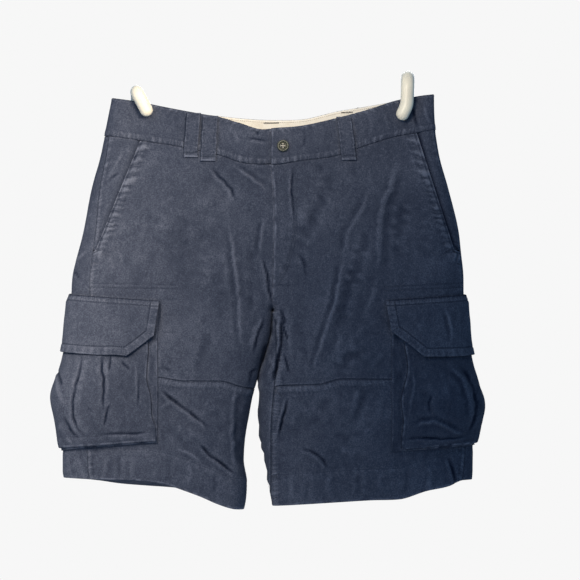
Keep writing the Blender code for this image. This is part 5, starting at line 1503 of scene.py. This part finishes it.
class Pocket:
    """a is the distance back from the bag's front edge, share the way down it."""

    def __init__(self, name, *sizes):
        self.half, self.name = HALVES[name], name
        self.front_x, top_front, top_side, bottom_front, bottom_side, *flap = np.array(sizes) * MM
        self.taper, self.past, *self.clip, self.longer = flap
        self.stray = curve(STRAYS[name], 1)
        self.tops, self.bottoms = (top_front, top_side), (bottom_front, bottom_side)
        self.front_u = float(self.half.u_at("front", self.front_x, POCKET_MIDDLE_Z))
        self.width = self.front_u - POCKET_BACK_U
        self.start, self.end = BAG_INSET[0], self.width - BAG_INSET[2]
        self.mouth, self.low = BAG_MOUTH / self.height(0), 1 - BAG_INSET[1] / self.height(0)
        self.seed, self.bag_shade = BAG_SEED[name], BAG_SHADE[name]

    def edge_u(self, z):
        return self.half.u_at("front", self.front_x + 0 * z, z)

    def uz(self, a, share):
        q = a / self.front_u
        z = mix(mix(*self.tops, q), mix(*self.bottoms, q), share)
        return np.stack([self.edge_u(z) - a, z], axis=-1)

    def covers(self, uz):
        """1 where the pocket is sewn onto a panel, with a narrow margin, and 0 elsewhere."""
        z = uz[..., 1]
        a = self.edge_u(z) - uz[..., 0]
        top, bottom = (mix(*ends, a / self.front_u) for ends in (self.tops, self.bottoms))
        inside = np.minimum.reduce([a + self.past, self.width + FLAP_PAST - a, top - z, z - bottom])
        return ramp((inside + 0.005) / 0.005)

    def height(self, a):
        q = a / self.front_u
        return mix(*self.tops, q) - mix(*self.bottoms, q)

    def strayed(self, a, share):
        return self.stray(mix(self.tops[0], self.bottoms[0], share)) * bump(a, self.start, STRAY_WIDTH)

    def stand(self, a, share):
        inside = np.clip((a - self.start) / (self.end - self.start), 0, 1)
        down = np.clip(share, 0, 1) ** (math.log(0.5) / math.log(BAG_FULL))
        crown = np.abs(np.sin(math.pi * inside) * np.sin(math.pi * down))
        bulge = bump(a, self.front_u, BULGE_WIDTH) * bump(share, BULGE_DOWN[self.name], BULGE_HEIGHT)
        narrow = NARROW_TOP * bump(a, self.front_u, NARROW_WIDTH) * ramp(1 - share / NARROW_OVER)
        return BAG_STAND * (1 - narrow) + BAG_CROWN * crown + BULGE_RISE * bulge


def seen_creases(half, grid, level, table):
    """Listed folds where the cloth faces the front: relief and shade."""
    fold, shade = creases(half.lay(grid, level)[..., [0, 2]], table)
    return half.facing(grid) * fold, half.facing(grid) * shade


def bag(pocket):
    half, start, end, mouth, low = pocket.half, pocket.start, pocket.end, pocket.mouth, pocket.low
    a = mix(start, end, steps(end - start, BAG_STEPS[0]))[None, :]
    share = mix(mouth, low, steps(BAG_LONG, BAG_STEPS[1]))[:, None]
    a, share = np.broadcast_arrays(a, share)
    grid, down = pocket.uz(a + pocket.strayed(a, share), share), share * pocket.height(a)
    pleat_in, pleat_out = PLEATS
    below_flap = ramp((down - FLAP_HEIGHT + 0.012) / 0.012)
    pleat = ramp((a - pleat_in + PLEAT_STEP) / PLEAT_STEP) * ramp((pleat_out + PLEAT_STEP - a) / PLEAT_STEP)
    pleat = pleat * (1 - 0.8 * ramp((share - 0.62) / 0.2) * ramp((pleat_in + 0.01 - a) / 0.01))
    level = pocket.stand(a, share) + PLEAT_RISE * pleat * (0.4 + 0.6 * below_flap) + TWILL
    fold, shade = seen_creases(half, grid, level, BAG_CREASES)
    relief = crumple(a, down, pocket.seed, 0.0016) + fold
    # the hem round its open edge lies under the flap; the foot is turned up and stitched
    from_foot = (low - share) * pocket.height(a)
    relief = relief + 0.0004 * ramp((0.014 - from_foot) / 0.002)
    calm = ramp(np.minimum.reduce(edge_distances(grid)) / 0.006)
    relief = relief * (0.25 + 0.75 * below_flap) * (0.35 + 0.65 * calm)
    edge_wear = (0.1, 0.60, EDGE_RUB[pocket.name], 0.45)
    name = f"cargo_bag_{pocket.name}"
    # the bag's tone: painted fold shade, and its pocket's painted shade
    shell(name, half, grid, level, TWILL, relief, edge_wear, shade + pocket.bag_shade)
    sewing, lines = Stitches(), (np.s_[-4, 3:-3], np.s_[-12, 3:-3], np.s_[3:-3, 4], np.s_[3:-3, -5])
    sewing.along(half, grid, level + relief, *lines)
    sewing.make(f"{name}_stitches")


def gusset(pocket):
    """The strip along the bag's front, foot and back, from the panel out to the bag's edge."""
    half, start, end, mouth, low = pocket.half, pocket.start, pocket.end, pocket.mouth, pocket.low
    q, run = np.linspace(0, 1, 110), np.linspace(0, 1, 120)
    down, still, whole = mix(mouth, low, q), 0 * q, 0 * run
    # a on the panel and at the bag's edge, then the share down at both
    front = np.stack([still, start + still, down, down], axis=1)[:-1]
    foot = np.stack([pocket.width * run, mix(start, end, run), 1 + whole, low + whole], axis=1)
    back = np.stack([pocket.width + still, end + still, down[::-1], down[::-1]], axis=1)[1:]
    a_in, a_out, share_in, share_out = np.concatenate([front, foot, back]).T[..., None]
    t = np.linspace(0, 1, 15)[None, :]
    a = mix(a_in, a_out + pocket.strayed(a_out, share_out), t)
    grid = pocket.uz(a, mix(share_in, share_out, t))
    base, high = seat(grid[:, :1, 0]) + TWILL, pocket.stand(a_out, share_out) - SEWN_ON
    level = mix(base, high, np.interp(t, [0, 0.5, 1], [0, GUSSET_LEAN, 1]))
    along = np.linspace(0, 0.5, len(grid))[:, None]
    sag = np.sin(math.pi * t) * (0.0006 * noise(along / 0.016, t * 2, pocket.seed + 9) - 0.0008)
    name = f"cargo_gusset_{pocket.name}"
    # the gusset takes its pocket's painted shade
    shell(name, half, grid, level, TWILL, sag, (0.1, 0.1, 0.3, 0.2), pocket.bag_shade)
    sewing = Stitches()
    sewing.along(half, grid, level + sag, np.s_[2:-2, 2])
    sewing.make(f"{name}_stitches")


def flap(pocket):
    half, seed, (clip_a, clip_b) = pocket.half, pocket.seed, pocket.clip
    left, right = -pocket.past, pocket.width + FLAP_PAST
    a = mix(left, right, steps(right - left, FLAP_STEPS[0]))[None, :]
    a, q = np.broadcast_arrays(a, steps(FLAP_HEIGHT, FLAP_STEPS[1])[:, None])
    longer = pocket.longer * np.clip(a / pocket.front_u, 0, 1)
    corner = np.maximum(0, 1 - np.minimum(a - left, right - a) / clip_a)
    down = q * (FLAP_HEIGHT + longer - clip_b * corner)
    narrowed = np.minimum(down / (FLAP_HEIGHT - clip_b), 1) * (1 - np.maximum(a, 0) / FLAP_TAPERED)
    a = a + pocket.taper * np.maximum(narrowed, 0)
    share = down / pocket.height(a)
    wavy = 0.0012 * noise(a / 0.030, q * 0 + 2.5, seed + 3) * q**6
    grid = pocket.uz(a, share + wavy / pocket.height(a))
    over = pocket.stand(a, share) + TWILL + PLEAT_RISE + FLAP_OVER
    level = mix(seat(grid[..., 0]), over, ramp(down / BAG_MOUTH)) + FLAP_WALL
    from_top, *from_rim = edge_distances(grid)
    rim_off = np.minimum.reduce(from_rim)
    fold, shade = seen_creases(half, grid, level, FLAP_CREASES)
    relief = crumple(a, down, seed + 6, 0.0008) + fold
    relief = relief * (0.2 + 0.8 * ramp(np.minimum(rim_off, from_top) / 0.010))
    relief = relief + 0.0009 * noise(a / 0.022, q * 0 + 1.5, seed + 4) * ramp((down - 0.06) / 0.02)
    # painted fold shade, and a painted shadow along the flap's top edge
    sewn, wear_and_shade = Sewn(relief.shape), shade - 0.55 * bump(from_top, 0.0, 0.0014)
    rim = np.concatenate([grid[:, 0], grid[-1, 1:-1], grid[::-1, -1]])
    for off, along, band, pitch in (
        (rim_off, near(grid, rim, 90)[2], FLAP_RIM, 0.0060),
        (from_top, a, FLAP_TOP, 0.0036),
    ):
        inside, beside = ramp((band - off) / 0.0015), off - band - 0.0008
        swell = ripple(along, seed + 13, 2.6 * pitch)
        relief = relief + inside * (0.0003 + 0.0004 * swell) - 0.0005 * bump(beside, 0, 0.0010)
        gap = 0.0007 + 1.4 * np.abs(beside)
        sewn.add(gap, along / pitch + seed, inside * 0.6 * (0.4 + 0.6 * swell))
    name = f"cargo_flap_{pocket.name}"
    shell(name, half, grid, level, FLAP_WALL, relief, (0.10, 0.22, 0.24, 0.24), wear_and_shade, sewn=sewn)
    sewing, height = Stitches(), sampler(grid, level + relief)
    top, rim = resample(grid[0], np.linspace(0.01, 0.99, 90)), resample(rim, np.linspace(0, 1, 160))
    for row in (EDGE_ROW, FLAP_TOP + 0.0010):
        sewing.on(half, shifted(top, row), height)
    for row in (EDGE_ROW, FLAP_RIM + 0.0010):
        line = shifted(rim, row * turning(rim))
        sewing.on(half, line[line_inside(line, grid, row)], height)
    sewing.make(f"{name}_stitches")


# ---- zip, button and hooks ----
def tube(path, radii, around=24):
    """Points and quads of a smooth closed tube."""
    path = np.array([list(p) for p in path])
    forward = unit(np.gradient(path, axis=0))
    across = np.cross(forward[0], (1, 0, 0.3))
    angle = np.linspace(0, 2 * math.pi, around, endpoint=False)[:, None]
    rings, faces = [], []
    for place, ahead, radius in zip(path, forward, radii):
        across = unit(across - ahead * (across @ ahead))
        rings.append(place + radius * (np.cos(angle) * across + np.sin(angle) * np.cross(ahead, across)))
    a = np.arange(around)
    b, last, middle = np.roll(a, -1), (len(rings) - 1) * around, len(rings) * around + 0 * a
    for base in range(0, last, around):
        faces.append(np.stack([a, b, b + around, a + around], axis=1) + base)
    faces.append(np.stack([b, a, middle, middle], axis=1))
    faces.append(np.stack([a + last, b + last, middle + 1, middle + 1], axis=1))
    ends = [ring.mean(0)[None] for ring in (rings[0], rings[-1])]
    return np.concatenate(rings + ends), np.concatenate(faces)


HOOK_RADIUS, HOOK_BEND, HOOK_KNEE, HOOK_OFF = 0.0096, 0.014, 0.030, 0.0004
HOOK_BEHIND = (-0.016, -0.004, 0.010, 0.030)
PLATE_THICK, PLATE_Z = 0.006, -0.004
# half, then x at the back, the top, the front and the tip, z of the top, the bend and the tip
HOOKS = (
    ("right", -199.5, -199.5, -193.5, -185, 56, 35, 10.2),
    ("left", 193.5, 193.5, 191.5, 185, 77.5, 27, 4.4),
)


def arc_points(start, corner, end, radius, count=14):
    back, on = start - corner, end - corner
    angle = back.angle(on)
    reach = min(radius / math.tan(angle / 2), 0.49 * back.length, 0.49 * on.length)
    radius = reach * math.tan(angle / 2)
    back, on = back.normalized(), on.normalized()
    middle = corner + (back + on).normalized() * radius / math.sin(angle / 2)
    a, b = ((corner + way * reach - middle).normalized() for way in (back, on))
    return [middle + a.slerp(b, k / (count - 1)) * radius for k in range(count)]


def hook(side, *sizes):
    x_back, x_top, x_front, x_tip, z_top, z_bend, z_tip = np.array(sizes) * MM
    half, clear = HALVES[side], WAIST_OUTER + GAP + HOOK_RADIUS
    y_back = clear + max(float(half.point(half.u_at("back", x_back, z), z)[1]) for z in HOOK_BEHIND)
    fronts = []
    for x, z in ((x_front, z_bend), (x_tip, z_tip + HOOK_RADIUS)):
        place = np.array([half.u_at("front", x, z), z])
        fronts.append(Vector(half.lay(place, clear + HOOK_OFF)))
    knee, tip = fronts
    face_y, z_over = -PLATE_THICK - GAP, z_top - HOOK_RADIUS
    plate, elbow = Vector((x_back, face_y, PLATE_Z)), Vector((x_back, y_back, PLATE_Z))
    over_back, over_front = Vector((x_top, y_back, z_over)), Vector((x_top, knee.y, z_over))
    span = (y_back - knee.y) / 2
    path = [plate]
    path += arc_points(plate, elbow, over_back, min(HOOK_BEND, face_y - y_back))
    path += arc_points(elbow, over_back, over_front, span)
    path += arc_points(over_back, over_front, knee, span)
    path += arc_points(over_front, knee, tip, HOOK_KNEE)
    direction, radii = (tip - path[-1]).normalized(), [HOOK_RADIUS] * len(path)
    for angle in np.linspace(0, math.pi / 2, 9)[1:]:
        path.append(tip + direction * HOOK_RADIUS * math.sin(angle))
        radii.append(HOOK_RADIUS * max(math.cos(angle), 0.03))
    mesh_object(f"hook_{side}", *facing_out(*tube(path, radii)), "hook_paint", paint)
    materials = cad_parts[f"wall_plate_{side}"].data.materials
    materials.clear()
    materials.append(paint)


BUTTON_X, BUTTON_Z, BUTTON_HOLES, BUTTON_OFF = 0.0123, -0.0326, 0.0026, 0.0012
ZIP_X, ZIP_BOTTOM_Z, ZIP_TEETH_X = (-0.012, 0.018), -0.225, 0.003
ZIP_WALL, TAPE_DEPTH, TEETH_DEPTH = 0.0008, -TWILL - 0.0018, -TWILL - 0.0028
TOOTH, TOOTH_PITCH, TOOTH_ASIDE = (0.0022, 0.0008, 0.00042), 0.0011, 0.0012
# radius and height
BUTTON_RIM = (
    (5.4, 1.9),
    (5.7, 2.7),
    (6.3, 3.3),
    (7, 3.5),
    (7.8, 3.2),
    (8.4, 2.4),
    (8.7, 1.5),
    (8.4, 0.6),
    (7.6, 0.1),
    (2, 0.1),
)
BUTTON_FACE = (
    (0.05, 2),
    (1.2, 2),
    (3, 2),
    (4.2, 2),
    (5, 1.4),
    (5.6, 1.2),
)
BUTTON_HOLE = ((0.05, 2.06), (0.7, 2.08), (1.2, 2.06), (1.25, 1.8))


def lathe(profile, place, turned, around=56):
    """Points and quads of a turned form about the local z axis."""
    angle = np.linspace(0, 2 * math.pi, around, endpoint=False)
    r, h = (np.array(profile) * MM).T[..., None]
    local = np.stack([r * np.cos(angle), r * np.sin(angle), h + 0 * angle], axis=-1)
    points = local.reshape(-1, 3) @ np.array(turned.to_matrix()).T + np.array(place)
    i, j = np.meshgrid(np.arange(len(r) - 1), np.arange(around), indexing="ij")
    a, b = (i * around + j).ravel(), (i * around + (j + 1) % around).ravel()
    return points, np.stack([a, a + around, b + around, b], axis=1)


def button():
    half = HALVES["left"]
    u = float(half.u_at("front", BUTTON_X, BUTTON_Z))
    out = Vector(half.normal(u, BUTTON_Z))
    place = Vector(half.point(u, BUTTON_Z)) + out * (WAIST_OUTER + BUTTON_OFF)
    turned = out.to_track_quat("Z", "Y")
    mesh_object("button", *lathe(BUTTON_RIM, place, turned), "button", bronze)
    mesh_object("button_face", *lathe(BUTTON_FACE, place, turned), "button", bronze_dark)
    for k in range(4):
        angle = math.radians(45 + 90 * k)
        spot = place + turned @ Vector((math.cos(angle), math.sin(angle), 0)) * BUTTON_HOLES
        # a dark disc over each hole, a painted shade
        mesh_object(f"button_hole_{k}", *lathe(BUTTON_HOLE, spot, turned, 18), "button", hollow)
    sewing = Stitches()
    for y in (-0.00184, 0.00184):
        ends = [place + turned @ Vector((BUTTON_HOLES * x, y, 0.0020)) for x in (-0.7, 0, 0.7)]
        sewing.run(np.array(ends), np.array(out), pitch=0.0026, length=0.0024, lift=0.0003)
    sewing.make("button_thread", dark_thread)


def fly_zip():
    half = HALVES["left"]
    z = np.linspace(float(front_seam(0)) - 0.002, ZIP_BOTTOM_Z, 90)
    zz, xx = np.meshgrid(z, np.linspace(*ZIP_X, 22), indexing="ij")
    grid = np.stack([half.u_at("front", xx, zz), zz], axis=-1)[:, ::-1]
    rib = 0.0002 * np.sin(grid[..., 1] / 0.0011)
    shell("fly_zip", half, grid, TAPE_DEPTH, ZIP_WALL, rib, slot="zip")
    heights = np.arange(z[-1] + 0.004, z[0] - 0.003, TOOTH_PITCH)
    asides = ZIP_TEETH_X + TOOTH_ASIDE * np.where(np.arange(len(heights)) % 2, 1, -1)
    middles = half.lay(np.stack([half.u_at("front", asides, heights), heights], axis=1), TEETH_DEPTH)
    corners = np.array([(a, b, c) for c in (-1, 1) for b in (-1, 1) for a in (-1, 1)]) * TOOTH
    cube = np.array([(0, 2, 3, 1), (4, 5, 7, 6), (0, 1, 5, 4), (2, 6, 7, 3), (0, 4, 6, 2), (1, 3, 7, 5)])
    faces = cube + 8 * np.arange(len(heights))[:, None, None]
    points = (middles[:, None] + corners).reshape(-1, 3)
    mesh_object("fly_zip_teeth", points, faces.reshape(-1, 4), "zip", zip_metal)


for row in POCKETS:
    pocket = Pocket(*row)
    panels(pocket.half, pocket)
    for make in (bag, gusset, flap):
        make(pocket)
waistbands()
for name, half_name, face, x_top, x_bottom, width, _ in LOOPS:
    loop(name, half_name, face, x_top * MM, x_bottom * MM, width * MM)
button()
fly_zip()
for row in HOOKS:
    hook(*row)


# ---- stage, lights and camera ----
def flat(name, size, place, colour, lifted):
    x, y = size
    data = bpy.data.meshes.new(name)
    corners = [(-x, -y), (x, -y), (x, y), (-x, y)]
    data.from_pydata([(a + place[0], b + place[1], place[2]) for a, b in corners], [], [(0, 1, 2, 3)])
    material, tree, shader = nodes_of(name)
    # the world's light is blue, so the floor is lifted to a plain pale tone where it is seen
    rays = node(tree, "LightPath").outputs["Is Camera Ray"]
    put(tree, shader, {
        "Base Color": (*colour, 1), "Roughness": 0.9,
        "Emission Color": (*lifted, 1), "Emission Strength": rays,
    })
    data.materials.append(material)
    thing = bpy.data.objects.new(name, data)
    bpy.context.scene.collection.objects.link(thing)


def light(name, place, target, size, power, colour=(1, 1, 1), spread=180):
    data = bpy.data.lights.new(name, "AREA")
    data.size, data.energy, data.color = size, power, colour
    data.spread = math.radians(spread)
    lamp = bpy.data.objects.new(name, data)
    lamp.location = place
    lamp.visible_camera = False
    lamp.rotation_euler = (Vector(target) - Vector(place)).to_track_quat("-Z", "Y").to_euler()
    bpy.context.scene.collection.objects.link(lamp)


flat("floor", (0.9, 0.45), (0, -0.15, -0.86), (0.85, 0.85, 0.85), (0.50, 0.42, 0.31))
light("key", (-0.43, -0.62, -0.05), (-0.88, -0.08, -0.53), 0.22, 7.4, (1.0, 0.88, 0.72), 153)
light("top", (0.0, -0.57, 0.19), (-0.29, -0.08, 0.25), 0.22, 3.6, (1.0, 0.88, 0.72), 154)
light("fill", (-1.4, -1.8, 0.7), (0, -0.08, -0.25), 1.2, 8, (0.40, 0.65, 1.0))
light("back", (0.3, 2.0, 0.8), (0, -0.08, -0.25), 1.6, 25)

# the world lights the cloth in blue, and is pale where it is seen
world = bpy.data.worlds.new("studio")
world.use_nodes = True
bpy.context.scene.world = world
tree = world.node_tree
rays = node(tree, "LightPath").outputs["Is Camera Ray"]
inputs = {"Color1": (0.385, 0.64, 1.0, 1), "Color2": (0.93, 0.93, 0.93, 1), "Fac": rays}
tint = node(tree, "MixRGB", inputs)
power = node(tree, "MapRange", {"To Min": 0.38, "To Max": 1.0, "Value": rays})
inputs = {"Color": tint.outputs["Color"], "Strength": power.outputs["Result"]}
put(tree, tree.nodes["Background"], inputs)
bpy.context.scene.view_settings.view_transform = "Standard"

CAMERA_AWAY, SENSOR = 8.0, 36
IN_FRONT = 0.012  # from the middle of the cloth to the plane that is in scale
((camera_x, camera_z),) = seen(PHOTO_SIDE / 2, PHOTO_SIDE / 2)
camera_data = bpy.data.cameras.new("camera")
camera_data.sensor_width = SENSOR
camera_data.lens = SENSOR * CAMERA_AWAY / (PHOTO_SIDE * PIXEL)
camera = bpy.data.objects.new("camera", camera_data)
camera.location = (camera_x, MIDDLE_Y - IN_FRONT - CAMERA_AWAY, camera_z)
camera.rotation_euler = (math.pi / 2, 0, 0)
bpy.context.scene.collection.objects.link(camera)
bpy.context.scene.camera = camera

bpy.context.view_layer.update()
